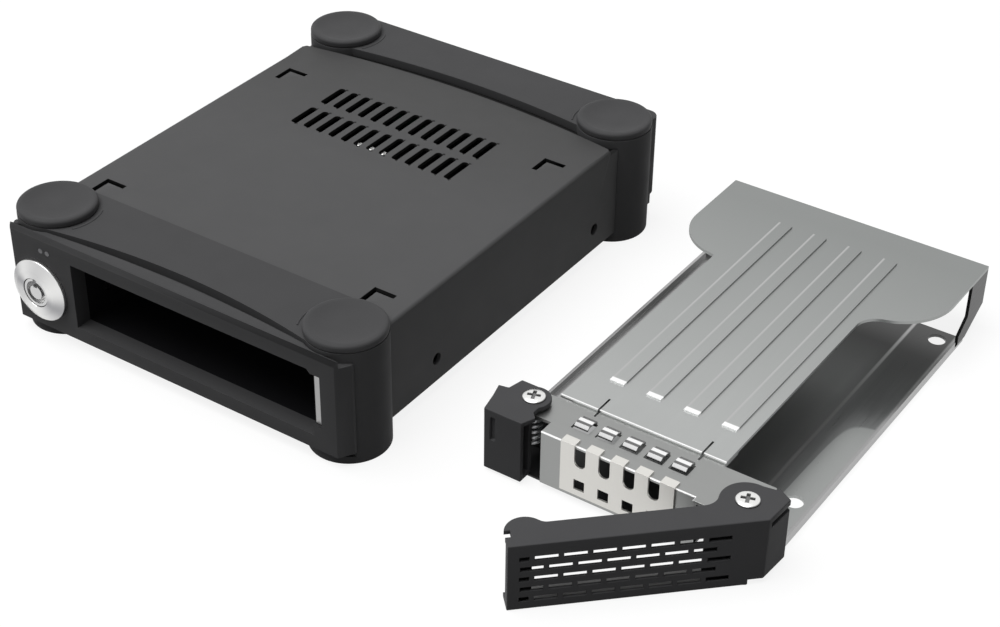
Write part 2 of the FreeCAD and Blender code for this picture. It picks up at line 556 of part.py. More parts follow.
def cradle():
    """Bay cradle: floor and walls that guide the tray, feet down to the pan, and windows for the
    lock's cam and the lever's claw."""
    left, right = f"({CRADLE_LEFT} - cradle_sheet)", f"({CRADLE_RIGHT} + cradle_sheet)"
    along = (BEZEL_BACK, f"{BACKPLANE_Y} - seat_gap")
    under = f"({CRADLE_LOW} - cradle_sheet)"
    floor = span_box((left, right), along, (under, CRADLE_LOW))
    walls = [span_box(across, along, (CRADLE_LOW, f"{BAY_TOP} + cradle_rise"))
             for across in ((left, CRADLE_LEFT), (CRADLE_RIGHT, right))]
    feet = [box(("cradle_foot_width", "cradle_foot_length", f"{under} - pan_sheet"), (x, y, "pan_sheet"))
            for x in (left, f"{right} - cradle_foot_width")
            for y in (f"{BEZEL_BACK} + cradle_foot_front", f"{BACKPLANE_Y} - cradle_foot_rear")]
    claw_room = span_box((f"{CRADLE_RIGHT} - through", f"{right} + through"),
                         (f"{BEZEL_BACK} + seat_gap", f"{BEZEL_BACK} + claw_room"), ("claw_slot_low", CLAW_SLOT_HIGH))
    cam_room = span_box((f"{left} - through", f"{CRADLE_LEFT} + through"),
                        (f"{CAM_FRONT} - seat_gap", f"{CAM_FRONT} + lock_cam_thick + seat_gap"),
                        ("lock_height - lock_cam_width / 2 - seat_gap", "lock_height + lock_cam_reach"))
    return cut(fuse(floor, *walls, *feet), claw_room, cam_room)


def strike_strip():
    """Bright folded strip in the claw slot, which the lever's claw pushes against."""
    right = f"({BAY_RIGHT} + claw_slot_width)"
    height = ("claw_slot_low + cradle_gap", f"{CLAW_SLOT_HIGH} - cradle_gap")
    face = f"({FRONT} + strike_setback)"
    strip = span_box((CRADLE_RIGHT, right), (face, f"{face} + strike_sheet"), height)
    leg = span_box((f"{right} - strike_sheet", right), (face, BEZEL_BACK), height)
    return fuse(strip, leg)


# ---------------------------------------------------------------- rear panel and electronics

def port_block(inset, across, height, along):
    """A block round a middle (x, z) of a size (wide, high), smaller all round by an inset."""
    (x, wide), (z, high) = across, height
    return span_box((f"{x} - {wide} / 2 + {inset}", f"{x} + {wide} / 2 - {inset}"), along,
                    (f"{z} - {high} / 2 + {inset}", f"{z} + {high} / 2 - {inset}"))


def switch_block(inset, along):
    return port_block(inset, (SWITCH_X, "switch_width"), (SWITCH_Z, "switch_height"), along)


def rear_panel():
    """Rear plate inside the cover's mouth, cut for the jack, the port and the switch."""
    along = (PANEL_INNER, SHEET_BACK)
    foot = span_box((f"0 - {WALL_INNER}", WALL_INNER), along, ("pan_sheet", "pan_wall"))
    plate = span_box((f"0 - {WALL_OUTER}", WALL_OUTER), along, ("pan_wall", STEP_LOW))
    jack = rod("jack_bore_radius + jack_clearance", "cover_sheet", (JACK_X, PANEL_INNER, JACK_Z), "Y")
    usb = port_block("(0 - port_gap)", (USB_X, "usb_width"), ("usb_level", "usb_height"), along)
    return cut(fuse(foot, plate), jack, usb, switch_block("switch_lip", along))


def power_jack():
    """Round power inlet: a block on the board with a blind bore and its centre pin."""
    front = f"({PANEL_INNER} - jack_depth)"
    body = box(("jack_width", "jack_depth", "jack_height"), (f"{JACK_X} - jack_width / 2", front, BOARD_TOP))
    floor = (JACK_X, f"{front} + jack_wall", JACK_Z)
    bore = rod("jack_bore_radius", "jack_depth - jack_wall", floor, "Y")
    pin = rod("jack_pin_radius", "jack_depth - jack_wall - jack_pin_recess", floor, "Y")
    return fuse(cut(body, bore), pin)


def usb_port():
    """Shell of the data port with its tongue, on the rear of the backplane."""
    start = f"({BACKPLANE_Y} + backplane_thick)"
    end = f"({start} + usb_depth)"
    size = (USB_X, "usb_width"), ("usb_level", "usb_height")
    shell = port_block("0", *size, (start, end))
    mouth = port_block("usb_wall", *size, (f"{start} + usb_wall", end))
    tongue = port_block("0", (USB_X, "(usb_width - 2 * usb_tongue_inset)"), ("usb_level", "usb_tongue"),
                        (start, f"{end} - usb_tongue"))
    return fuse(cut(shell, mouth), tongue)


def switch_frame():
    """Switch housing that snaps into the rear panel, with a flange outside and a pocket with two
    bores for the rocker's pins."""
    flange = switch_block("0", (SHEET_BACK, REAR))
    body = switch_block("(switch_lip + sheet_gap)", (f"{SHEET_BACK} - switch_depth", SHEET_BACK))
    pocket = port_block("(0 - seat_gap)", (SWITCH_X, "rocker_width"), (SWITCH_Z, "rocker_height"),
                        (f"{ROCKER_Y} - rocker_room", REAR))
    bore = rod("rocker_pin_radius + running_gap", "rocker_width + 2 * pin_reach + 2 * seat_gap",
               (f"{SWITCH_X} - rocker_width / 2 - pin_reach - seat_gap", ROCKER_Y, SWITCH_Z), "X")
    return cut(fuse(flange, body), pocket, bore)


def switch_rocker():
    """Rocker with a hollowed two-sided face, on its own pins."""
    key = rod("rocker_height / 2", "rocker_width", (f"{SWITCH_X} - rocker_width / 2", ROCKER_Y, SWITCH_Z), "X")
    start = f"{SWITCH_X} - rocker_width / 2 - pin_reach"
    span = "rocker_width + 2 * pin_reach"
    hollow = rod("rocker_hollow", span,
                 (start, f"{ROCKER_Y} + rocker_hollow + rocker_crest", f"{SWITCH_Z} - rocker_tilt"), "X")
    return fuse(cut(key, hollow), rod("rocker_pin_radius", span, (start, ROCKER_Y, SWITCH_Z), "X"))


def drive_socket():
    """Drive connector: one shell with a short and a long tongue, facing the bay."""
    left = f"({BAY_MIDDLE} - socket_width / 2)"
    start = f"({BACKPLANE_Y} - socket_depth)"
    low = "(bay_sill + lever_gap + tray_sheet + socket_lift)"
    shell = box(("socket_width", "socket_depth", "socket_height"), (left, start, low))
    mouth = box(("socket_width - 2 * socket_wall", "socket_depth - socket_wall", "socket_height - 2 * socket_wall"),
                (f"{left} + socket_wall", start, f"{low} + socket_wall"))
    tongues = [box((width, "socket_depth - socket_wall / 2", "tongue_thick"),
                   (f"{left} + {offset}", f"{start} + socket_wall / 2", f"{low} + (socket_height - tongue_thick) / 2"))
               for width, offset in (("tongue_short", "tongue_left"),
                                     ("tongue_long", "2 * tongue_left + tongue_short"))]
    return fuse(cut(shell, mouth), *tongues)


def main_board():
    """Circuit board beside the bay, with its two screw holes."""
    board = span_box((BOARD_LEFT, BOARD_RIGHT), (f"{BOARD_REAR} - board_length", BOARD_REAR), (BOARD_LOW, BOARD_TOP))
    return cut(board, *board_posts(rod, "screw_radius", "board_thick", BOARD_LOW))


def board_screws():
    """Two hexagon-headed screws that hold the board on the pan's stand-offs."""
    shanks = board_posts(rod, "screw_radius", "board_thick", BOARD_LOW)
    heads = board_posts(hexagon, "board_screw_head", "board_screw_thick", BOARD_TOP)
    return group(*[fuse(shank, head) for shank, head in zip(shanks, heads)])


def backplane_board():
    return span_box((BACKPLANE_LEFT, f"{WALL_INNER} - seat_gap"), (BACKPLANE_Y, f"{BACKPLANE_Y} + backplane_thick"),
                    ("pan_sheet", f"{STEP_LOW} - seat_gap"))


def board_link():
    """Header that joins the main board to the backplane's end."""
    middle = f"({BACKPLANE_Y} + backplane_thick / 2)"
    return span_box((f"{BOARD_RIGHT} - link_lap", BACKPLANE_LEFT),
                    (f"{middle} - link_depth / 2", f"{middle} + link_depth / 2"),
                    (BOARD_TOP, f"{BOARD_TOP} + link_height"))


# ---------------------------------------------------------------- tray

def drive_holes():
    for x in (-1, 1):
        for back in ("drive_hole_rear", "drive_hole_rear + drive_hole_spacing"):
            yield f"{TRAY_X} + {x} * (drive_width / 2 - drive_hole_inset)", f"{TRAY_REAR} - ({back})"


def tray_base():
    """Floor plate of the tray with turned-up edges and the four drive screw holes."""
    rear = f"({TRAY_REAR} - base_rear)"
    floor = span_box((TRAY_LEFT, TRAY_RIGHT), (BASE_FRONT, rear), (TRAY_LOW, TRAY_FLOOR))
    lips = [span_box(across, (BASE_FRONT, f"{rear} - lip_short"), (TRAY_FLOOR, f"{TRAY_FLOOR} + lip_height"))
            for across in ((TRAY_LEFT, f"{TRAY_LEFT} + tray_sheet"), (f"{TRAY_RIGHT} - tray_sheet", TRAY_RIGHT))]
    holes = [rod("drive_hole_radius", "tray_sheet", (x, y, TRAY_LOW)) for x, y in drive_holes()]
    return cut(fuse(floor, *lips), *holes)


def shoulder(side, neck, start, inner):
    """The two tangent arcs that widen the neck to the tray's full width on one side."""
    wide = f"({TRAY_WIDTH} / 2)"
    across = f"({wide} - {neck})"
    along = f"({start} - shoulder_end)"
    both = f"(({across} * {across} + {along} * {along}) / (2 * {across}))"
    outer_x, outer_y = f"({wide} - ({both} - {inner}))", "(0 - shoulder_end)"
    inner_x, inner_y = f"({neck} + {inner})", f"(0 - {start})"
    share = f"({inner} / {both})"
    meet_x = f"({inner_x} + ({outer_x} - {inner_x}) * {share})"
    meet_y = f"({inner_y} + ({outer_y} - ({inner_y})) * {share})"

    def spot(x, y):
        return f"{TRAY_X} + {side} * {x}", f"{TRAY_REAR} + {y}"
    return {"wide": spot(wide, outer_y), "outer": spot(outer_x, outer_y), "meet": spot(meet_x, meet_y),
            "inner": spot(inner_x, inner_y), "neck": spot(neck, inner_y)}


def slits(low, high):
    """Two narrow slits that cross the joint of the top plate and the bracket."""
    for x in (f"({TRAY_X} - slit_left)", f"({TRAY_X} + slit_right)"):
        yield span_box((f"{x} - slit_width / 2", f"{x} + slit_width / 2"),
                       (f"{PLATE_FRONT} - slit_front", f"{PLATE_FRONT} + slit_back"), (low, high))


def tray_top():
    """Spade-shaped top plate: a full-width rear, shoulders and a ribbed neck, with a side flange at
    each rear corner that stands on the floor plate."""
    neck_left = f"({TRAY_WIDTH} / 2 - neck_left_inset)"
    neck_right = f"({TRAY_WIDTH} / 2 - neck_right_inset)"
    right = shoulder(1, neck_right, "shoulder_right", "shoulder_inner_right")
    left = shoulder(-1, neck_left, "shoulder_left", "shoulder_inner_left")
    plate = outline_pad("TrayTop", "XY_Plane", BRACKET_TOP, [
        (TRAY_LEFT, TRAY_REAR),
        (*left["wide"], left["outer"], "ccw"), (*left["meet"], left["inner"], "cw"), left["neck"],
        (f"{TRAY_X} - {neck_left}", PLATE_FRONT), (f"{TRAY_X} + {neck_right}", PLATE_FRONT),
        (*right["neck"], right["inner"], "cw"), (*right["meet"], right["outer"], "ccw"), right["wide"],
        (TRAY_RIGHT, TRAY_REAR),
    ], "tray_sheet")
    shin, toe = f"{TRAY_REAR} - flange_top", f"{TRAY_REAR} - flange_foot"
    flanges = [outline_pad("Flange", "YZ_Plane", x, [
        (TRAY_REAR, BRACKET_TOP), (shin, BRACKET_TOP), (shin, f"{TRAY_FLOOR} + flange_step"),
        (toe, f"{TRAY_FLOOR} + flange_toe"), (toe, TRAY_FLOOR), (shin, TRAY_FLOOR),
        (TRAY_REAR, f"{TRAY_FLOOR} + flange_heel"),
    ], "tray_sheet") for x in (TRAY_LEFT, f"{TRAY_RIGHT} - tray_sheet")]
    ribs = []
    for index in range(count("rib_count")):
        middle = f"({TRAY_X} + rib_middle + ({index} - (rib_count - 1) / 2) * rib_pitch)"
        ribs.append(span_box((f"{middle} - rib_width / 2", f"{middle} + rib_width / 2"),
                             (f"{PLATE_FRONT} + rib_front", f"{TRAY_REAR} - rib_rear"),
                             (TRAY_TOP, f"{TRAY_TOP} + rib_rise")))
    return cut(fuse(plate, *flanges, *ribs), *slits(BRACKET_TOP, TRAY_TOP))


def finger_spots():
    for index in range(count("finger_count")):
        yield f"({TRAY_X} + ({index} - (finger_count - 1) / 2) * finger_pitch)"


def tray_bracket():
    """Folded front bracket: top flange with wings for the latch and the lever, windows under the
    fingers, two posts, a side wall, a foot that steps down onto the floor plate, and two clinched
    hexagon collars."""
    foot_low = f"({TRAY_LOW} + bracket_foot)"
    foot_back = f"({BASE_FRONT} + foot_lap)"
    sheet_z = (FLANGE_LOW, BRACKET_TOP)
    post_z = (foot_low, BRACKET_TOP)
    face = (BRACKET_FRONT, f"{BRACKET_FRONT} + tray_sheet")
    body = [
        span_box((POST_LEFT, POST_RIGHT), (BRACKET_FRONT, f"{PLATE_FRONT} + bracket_lap"), sheet_z),
        span_box((f"{TRAY_LEFT} + left_wing_inset", POST_LEFT),
                 (f"{BRACKET_FRONT} + left_wing_front", f"{PLATE_FRONT} - wing_back"), sheet_z),
        span_box((POST_RIGHT, f"{TRAY_RIGHT} - right_wing_inset"),
                 (f"{BRACKET_FRONT} - right_wing_front", f"{PLATE_FRONT} - wing_back"), sheet_z),
        span_box((POST_LEFT, f"{GRILLE_LEFT} + post_lap"), face, post_z),
        span_box((f"{GRILLE_LEFT} + {GRILLE_WIDTH} - post_lap", POST_RIGHT), face, post_z),
        span_box((POST_LEFT, f"{POST_LEFT} + tray_sheet"), (BRACKET_FRONT, BASE_FRONT), post_z),
        span_box((POST_LEFT, POST_RIGHT), (BRACKET_FRONT, foot_back), (foot_low, f"{foot_low} + tray_sheet")),
        span_box((POST_LEFT, POST_RIGHT), (BASE_FRONT, foot_back), (TRAY_FLOOR, foot_low)),
    ]
    body += [hexagon("collar_radius", f"{COLLAR_TOP} - {BRACKET_TOP}", (*spot, BRACKET_TOP)) for spot in (PIVOT, BLOCK)]
    tools = [rod("screw_radius", f"{COLLAR_TOP} - {FLANGE_LOW}", (*spot, FLANGE_LOW)) for spot in (PIVOT, BLOCK)]
    reach = "(finger_width / 2 + window_margin)"
    tools += [span_box((f"{x} - {reach}", f"{x} + {reach}"),
                       (f"{FINGER_FRONT} - window_margin", f"{FINGER_FRONT} + finger_length - finger_foot"), sheet_z)
              for x in finger_spots()]
    return cut(fuse(*body), *tools, *slits(*sheet_z))


def vent_grille():
    """Bright grille between the posts: round-footed slots between teeth that hook over the
    bracket, and a row of square holes."""
    across = (GRILLE_LEFT, f"{GRILLE_LEFT} + {GRILLE_WIDTH}")
    face = f"({BRACKET_FRONT} - grille_sheet)"
    top = f"({BRACKET_TOP} + grille_sheet)"
    hook_back = f"({BRACKET_FRONT} + grille_hook)"
    plate = span_box(across, (face, BRACKET_FRONT), (f"{TRAY_LOW} + grille_foot", top))
    hook = span_box(across, (face, hook_back), (BRACKET_TOP, top))
    round_z = f"({TRAY_LOW} + slot_floor + slot_width / 2)"
    square_z = f"({TRAY_LOW} + square_height)"
    tools = []
    for index in range(count("slot_count")):
        middle = f"({GRILLE_LEFT} + (grille_tooth + slot_pitch) / 2 + {index} * slot_pitch)"
        slot = (f"{middle} - slot_width / 2", f"{middle} + slot_width / 2")
        tools.append(span_box(slot, (face, hook_back), (round_z, top)))
        tools.append(rod("slot_width / 2", "grille_sheet", (middle, face, round_z), "Y"))
        tools.append(span_box((f"{middle} - square_hole / 2", f"{middle} + square_hole / 2"), (face, BRACKET_FRONT),
                              (f"{square_z} - square_hole / 2", f"{square_z} + square_hole / 2")))
    return cut(fuse(plate, hook), *tools)


def contact_fingers():
    """Five sprung fingers, each a bent bridge over a window, footed behind it."""
    low, high = BRACKET_TOP, f"({BRACKET_TOP} + finger_rise)"
    front, back = FINGER_FRONT, f"({FINGER_FRONT} + finger_length)"
    heel = f"({back} - finger_foot)"
    bend_back, bend_front = f"{heel} - finger_slope", f"{front} + finger_slope"
    fingers = []
    for middle in finger_spots():
        fingers.append(outline_pad("Finger", "YZ_Plane", f"{middle} - finger_width / 2", [
            (back, low), (back, f"{low} + finger_sheet"), (heel, f"{low} + finger_sheet"),
            (bend_back, high), (bend_front, high), (front, f"{low} + finger_sheet"), (front, low),
            (bend_front, f"{high} - finger_sheet"), (bend_back, f"{high} - finger_sheet"), (heel, low),
        ], "finger_width"))
    return group(*fingers)


def lever_top(px, py, tip, front):
    """Outline of the lever's top: straight edge, claw, boss over the pivot and hooked lobe, with
    hollow fillets where the boss and the lobe meet the rear edge."""
    edge = f"({front} + lever_depth)"
    both = "(boss_radius + boss_fillet)"
    rise = f"({edge} + boss_fillet - {py})"
    hollow = f"({px} - sqrt({both} * {both} - {rise} * {rise}))", f"({edge} + boss_fillet)"
    share = f"(boss_radius / {both})"
    on_boss = f"{px} + ({hollow[0]} - {px}) * {share}", f"{py} + {rise} * {share}"
    lobe = f"({tip} + lobe_radius)", f"({front} + lobe_radius)"
    both_tip = "(lobe_radius + lobe_fillet)"
    rise_tip = f"({edge} + lobe_fillet - {lobe[1]})"
    curl = f"({lobe[0]} + sqrt({both_tip} * {both_tip} - {rise_tip} * {rise_tip}))", f"({edge} + lobe_fillet)"
    share_tip = f"(lobe_radius / {both_tip})"
    on_lobe = f"{lobe[0]} + ({curl[0]} - {lobe[0]}) * {share_tip}", f"{lobe[1]} + {rise_tip} * {share_tip}"
    nose = f"({px} + claw_reach)", f"({front} + claw_nose)"
    boss_end = f"{px} + boss_end_x", f"{py} + sqrt(boss_radius * boss_radius - boss_end_x * boss_end_x)"
    return [
        (tip, front), (f"{px} + lever_heel", front), nose,
        (f"{nose[0]} - claw_wall", f"{nose[1]} + claw_tail"), (f"{px} + ear_x", f"{py} + ear_y"),
        (*boss_end, PIVOT, "ccw"), (*on_boss, hollow, "cw"), (hollow[0], edge),
        (curl[0], edge, curl, "cw"), (*on_lobe, lobe, "ccw"), (tip, lobe[1]),
    ]


def lever():
    """Slotted ejector lever: a channel open at the back, a hooked lobe at its tip, a round boss
    over the pivot and a claw at its heel. Built shut, then turned open."""
    px, py = PIVOT
    low, high = TRAY_LOW, LEVER_TOP
    tip, front = f"({BLOCK[0]} + latch_room)", f"({py} - lever_front)"
    heel = f"({px} + lever_heel)"
    inner = f"({front} + lever_wall)"
    under = f"({high} - lever_top)"
    top = outline_pad("LeverTop", "XY_Plane", under, lever_top(px, py, tip, front), "lever_top")
    face = span_box((tip, heel), (front, inner), (low, high))
    bottom = span_box((tip, f"{heel} - floor_short"), (front, f"{front} + floor_depth"), (low, f"{low} + lever_top"))
    cheek = span_box((tip, f"{tip} + lever_wall"), (front, f"{front} + cheek_depth"), (low, high))
    nose_x, nose_y = f"({px} + claw_reach)", f"({front} + claw_nose)"
    tail_x, tail_y = f"({nose_x} - claw_wall)", f"({nose_y} + claw_tail)"
    claw = outline_pad("Claw", "XY_Plane", f"{low} + heel_step", [
        (heel, front), (nose_x, nose_y), (tail_x, tail_y), (f"{tail_x} - claw_wall", tail_y),
        (f"{tail_x} - claw_lean", nose_y), (f"{heel} - claw_wall", inner),
    ], "lever_height - heel_step")
    slots = []
    for row in range(count("lever_slot_rows")):
        middle = f"({low} + lever_slot_lowest + {row} * lever_slot_row_pitch)"
        shift = row % 2 / 2
        for column in range(-1, int(number("lever_slot_reach / lever_slot_pitch"))):
            start = f"({tip} + lever_slot_first + ({column} - {shift}) * lever_slot_pitch)"
            slots.append(span_box((start, f"{start} + lever_slot_length"), (front, inner),
                                  (f"{middle} - lever_slot_width / 2", f"{middle} + lever_slot_width / 2")))
    region = span_box((f"{tip} + lever_slot_start", f"{tip} + lever_slot_start + lever_slot_reach"),
                      (front, inner), (low, high))
    hole = rod("screw_radius + running_gap", "lever_top", (px, py, under))
    notch_y = f"({front} + lobe_notch_front)"
    hook = span_box((tip, f"{tip} + lobe_notch"), (notch_y, f"{notch_y} + lobe_notch_width"), (under, high))
    step = span_box((f"{heel} - heel_step_length", heel), (front, inner), (low, f"{low} + heel_step"))
    wing_room = span_box((f"{heel} - claw_wall", f"{nose_x} + through"), (inner, f"{tail_y} + through"),
                         (f"{FLANGE_LOW} - wing_clearance", f"{BRACKET_TOP} + wing_clearance"))
    shut = cut(fuse(top, face, bottom, cheek, claw), common(region, fuse(*slots)), hole, hook, step, wing_room)
    return turned(shut, PIVOT, "lever_open")


def latch_block():
    """Hollow latch block, open at its right side, that swings on its own screw. Its tooth holds
    the lever's tip shut."""
    bx, by = BLOCK
    low, high = f"({LEVER_TOP} - block_height)", LEVER_TOP
    left, right, front = f"({bx} - block_left)", f"({bx} + block_right)", f"({by} - block_front)"
    under = f"({high} - lever_top)"
    tail_y = f"{by} + block_back"
    top = outline_pad("BlockTop", "XY_Plane", under, [
        (left, front), (right, front), (f"{right} + tooth_half", f"{by} - tooth_front"),
        (right, f"{by} - tooth_front + tooth_half"), (right, by), (bx, tail_y),
        (f"{bx} - block_tail", tail_y), (f"{bx} - tail_side", f"{by} - tail_front"),
        (f"{bx} - block_nose", f"{by} - nose_back"), (f"{bx} - nose_side", f"{by} - nose_front"),
    ], "lever_top")
    boss = rod("block_boss", "lever_top", (bx, by, under))
    face = span_box((left, right), (front, f"{front} + block_wall"), (low, high))
    side = span_box((left, f"{left} + block_wall"), (front, f"{by} - nose_front"), (low, high))
    spine = span_box((left, right), (f"{by} - block_spine", f"{by} - block_spine + block_wall"), (low, high))
    bottom = span_box((left, right), (front, f"{front} + block_floor"), (low, f"{low} + block_wall"))
    window = box(("lens_slot_width", "lens_slot_depth", "lens_slot_height"),
                 (f"{left} + lens_slot_side", front, f"{low} + lens_slot_low"))
    hole = rod("screw_radius + running_gap", "lever_top", (bx, by, under))
    return cut(fuse(top, boss, face, side, spine, bottom), hole, window)


def pivot_screw(spot):
    """Flat-headed screw through a turning piece and its collar into the bracket."""
    seat = f"({LEVER_TOP} + running_gap)"
    return fuse(rod("screw_radius", f"{seat} - {FLANGE_LOW}", (*spot, FLANGE_LOW)),
                rod("pivot_head_radius", "pivot_head_thick", (*spot, seat)))


def light_pipe():
    """Clear bar beside the left wing that carries the drive's light to the latch block."""
    wing = f"({TRAY_LEFT} + left_wing_inset)"
    return box(("pipe_width", "pipe_length", "pipe_height"),
               (f"{wing} - pipe_width", f"{BRACKET_FRONT} + left_wing_front", FLANGE_LOW))


# ---------------------------------------------------------------- the nodes

def cage_nodes():
    node("base_pan", pan())
    node("top_cover", cover())
    node("front_bezel", bezel())
    node("front_bumper", bumper(-1))
    node("rear_bumper", bumper(1))
    for x, y, name in WAYS:
        node(f"top_pad_{name}", top_pad(x, y))
    node("lock_barrel", lock_barrel())
    node("lock_plug", lock_plug())
    node("lock_cam", lock_cam())
    node("lock_nut", lock_nut())
    node("cam_screw", hexagon("cam_screw_radius", "cam_screw_thick",
                              (LOCK_X, f"{CAM_FRONT} + lock_cam_thick", "lock_height"), "Y"))
    node("status_lights", group(*[rod("light_radius", "bezel_depth", (x, FRONT, z), "Y") for x, z in light_spots()]))
    node("bay_cradle", cradle())
    node("strike_strip", strike_strip())


def electronics_nodes():
    node("main_board", main_board())
    node("board_screws", board_screws())
    node("power_jack", power_jack())
    node("backplane_board", backplane_board())
    node("board_link", board_link())
    node("drive_socket", drive_socket())
    node("usb_port", usb_port())
    node("rear_panel", rear_panel())
    node("switch_frame", switch_frame())
    node("switch_rocker", switch_rocker())


def tray_nodes():
    node("tray_base", tray_base())
    node("tray_top", tray_top())
    node("tray_bracket", tray_bracket())
    node("vent_grille", vent_grille())
    node("contact_fingers", contact_fingers())
    node("lever", lever())
    node("latch_block", latch_block())
    node("lever_screw", pivot_screw(PIVOT))
    node("latch_screw", pivot_screw(BLOCK))
    node("light_pipe", light_pipe())


def finish():
    """Check every object and every sub-part, then write one STEP file a node."""
    for thing in doc.Objects:
        bad = [state for state in thing.State if state in ("Invalid", "Error")]
        if bad:
            raise RuntimeError(f"{thing.Name} ({thing.Label}) is {bad}")
    for thing in NODES:
        if thing.Shape.isNull() or not thing.Shape.isValid():
            raise RuntimeError(f"{thing.Label} has no valid shape")
    os.makedirs("parts", exist_ok=True)
    for thing in NODES:
        thing.Shape.exportStep(f"parts/{thing.Label}.step")
        print(f"{thing.Label}: {len(thing.Shape.Solids)} solids, {thing.Shape.Volume:.1f} mm3")


cage_nodes()
electronics_nodes()
tray_nodes()
doc.recompute()
finish()
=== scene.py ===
import bpy
import json
from math import cos, radians, sin
from mathutils import Matrix, Vector

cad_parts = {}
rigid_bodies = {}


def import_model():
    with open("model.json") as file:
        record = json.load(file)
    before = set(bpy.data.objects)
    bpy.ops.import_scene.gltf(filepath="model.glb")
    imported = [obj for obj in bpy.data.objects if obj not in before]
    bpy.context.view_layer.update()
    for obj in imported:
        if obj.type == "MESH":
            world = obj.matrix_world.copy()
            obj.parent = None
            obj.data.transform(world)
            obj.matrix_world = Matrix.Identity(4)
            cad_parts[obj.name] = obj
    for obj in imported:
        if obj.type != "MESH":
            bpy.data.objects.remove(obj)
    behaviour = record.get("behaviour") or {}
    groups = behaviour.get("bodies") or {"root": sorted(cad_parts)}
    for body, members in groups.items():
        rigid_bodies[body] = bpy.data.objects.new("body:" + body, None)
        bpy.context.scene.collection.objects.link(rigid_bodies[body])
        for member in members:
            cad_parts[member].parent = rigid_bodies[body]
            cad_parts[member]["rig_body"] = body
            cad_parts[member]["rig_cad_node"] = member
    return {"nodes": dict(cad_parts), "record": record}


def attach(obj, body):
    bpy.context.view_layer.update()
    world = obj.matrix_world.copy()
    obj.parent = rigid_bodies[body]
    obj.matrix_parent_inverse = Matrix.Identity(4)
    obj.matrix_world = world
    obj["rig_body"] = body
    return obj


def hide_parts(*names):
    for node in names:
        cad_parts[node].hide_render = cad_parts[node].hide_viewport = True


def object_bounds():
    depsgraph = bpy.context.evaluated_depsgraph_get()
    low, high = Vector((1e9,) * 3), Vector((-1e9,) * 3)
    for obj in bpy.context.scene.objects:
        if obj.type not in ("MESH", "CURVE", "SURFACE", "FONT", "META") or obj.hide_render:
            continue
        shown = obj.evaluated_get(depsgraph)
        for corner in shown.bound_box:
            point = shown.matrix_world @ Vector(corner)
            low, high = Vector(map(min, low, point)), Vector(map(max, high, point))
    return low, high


# A drive cage and the tray drawn out of it, dressed for a studio. The frame is in metres: x to the
# right, y to the rear, z up. The helpers take millimetres, and other lengths are written times MM.

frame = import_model()
CAD_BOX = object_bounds()
MM = 0.001

HARD = radians(28)                               # edges sharper than this count as hard
FLAT = radians(0.5)                              # faces nearer than this count as one flat
BEZEL_FACE = -68.9                               # y of the bezel's front
LEVER_PIVOT = Vector((141.2, -43.7, 0)) * MM
LEVER_SWING = radians(43.9)                      # how far the lever stands open


def box_of(node):
    """Low and high corner of a node's box, in millimetres."""
    obj = frame["nodes"][node]
    corners = [obj.matrix_world @ Vector(corner) / MM for corner in obj.bound_box]
    low = Vector(min(corner[axis] for corner in corners) for axis in range(3))
    high = Vector(max(corner[axis] for corner in corners) for axis in range(3))
    return low, high


def middle_of(node):
    """The middle of a node's box, in millimetres."""
    low, high = box_of(node)
    return (low + high) / 2


# ---------------------------------------------------------------- finishes

class Value:
    """One output of a node tree. Arithmetic on it adds Math nodes."""

    def __init__(self, nodes, socket):
        self.nodes = nodes
        self.socket = socket

    def maths(self, operation, other=0.0, clamp=False):
        """Put this value, and a second where the operation takes two, through a Math node."""
        return self.nodes.node("ShaderNodeMath", {"operation": operation, "use_clamp": clamp}, {0: self, 1: other})

    def __add__(self, other):
        return self.maths("ADD", other)

    def __sub__(self, other):
        return self.maths("SUBTRACT", other)

    def __rsub__(self, other):
        return self.nodes.node("ShaderNodeMath", {"operation": "SUBTRACT"}, {0: other, 1: self})

    def __mul__(self, other):
        return self.maths("MULTIPLY", other)

    def __truediv__(self, other):
        return self.maths("DIVIDE", other)

    def __abs__(self):
        return self.maths("ABSOLUTE")

    __radd__ = __add__
    __rmul__ = __mul__

    def above(self, edge, blur):
        """Nought below an edge and one above it, with a soft change between, in millimetres."""
        return ((self - edge * MM) / (blur * MM)).maths("ADD", 0.5, clamp=True)

    def below(self, edge, blur):
        """One below an edge, nought above it."""
        return 1 - self.above(edge, blur)

    def between(self, low, high, blur):
        """One between two edges."""
        return self.above(low, blur) * self.below(high, blur)


class Nodes:
    """A node tree that is being built."""

    def __init__(self, tree):
        self.tree = tree

    def node(self, kind, settings, inputs, output=0):
        """Add a node: its settings first, then the values or links of its sockets."""
        made = self.tree.nodes.new(kind)
        for key, value in settings.items():
            setattr(made, key, value)
        for key, value in inputs.items():
            self.feed(made.inputs[key], value)
        return Value(self, made.outputs[output])

    def feed(self, socket, value):
        """Link an output to a socket, or set the socket's own constant."""
        if isinstance(value, Value):
            self.tree.links.new(value.socket, socket)
        else:
            socket.default_value = value


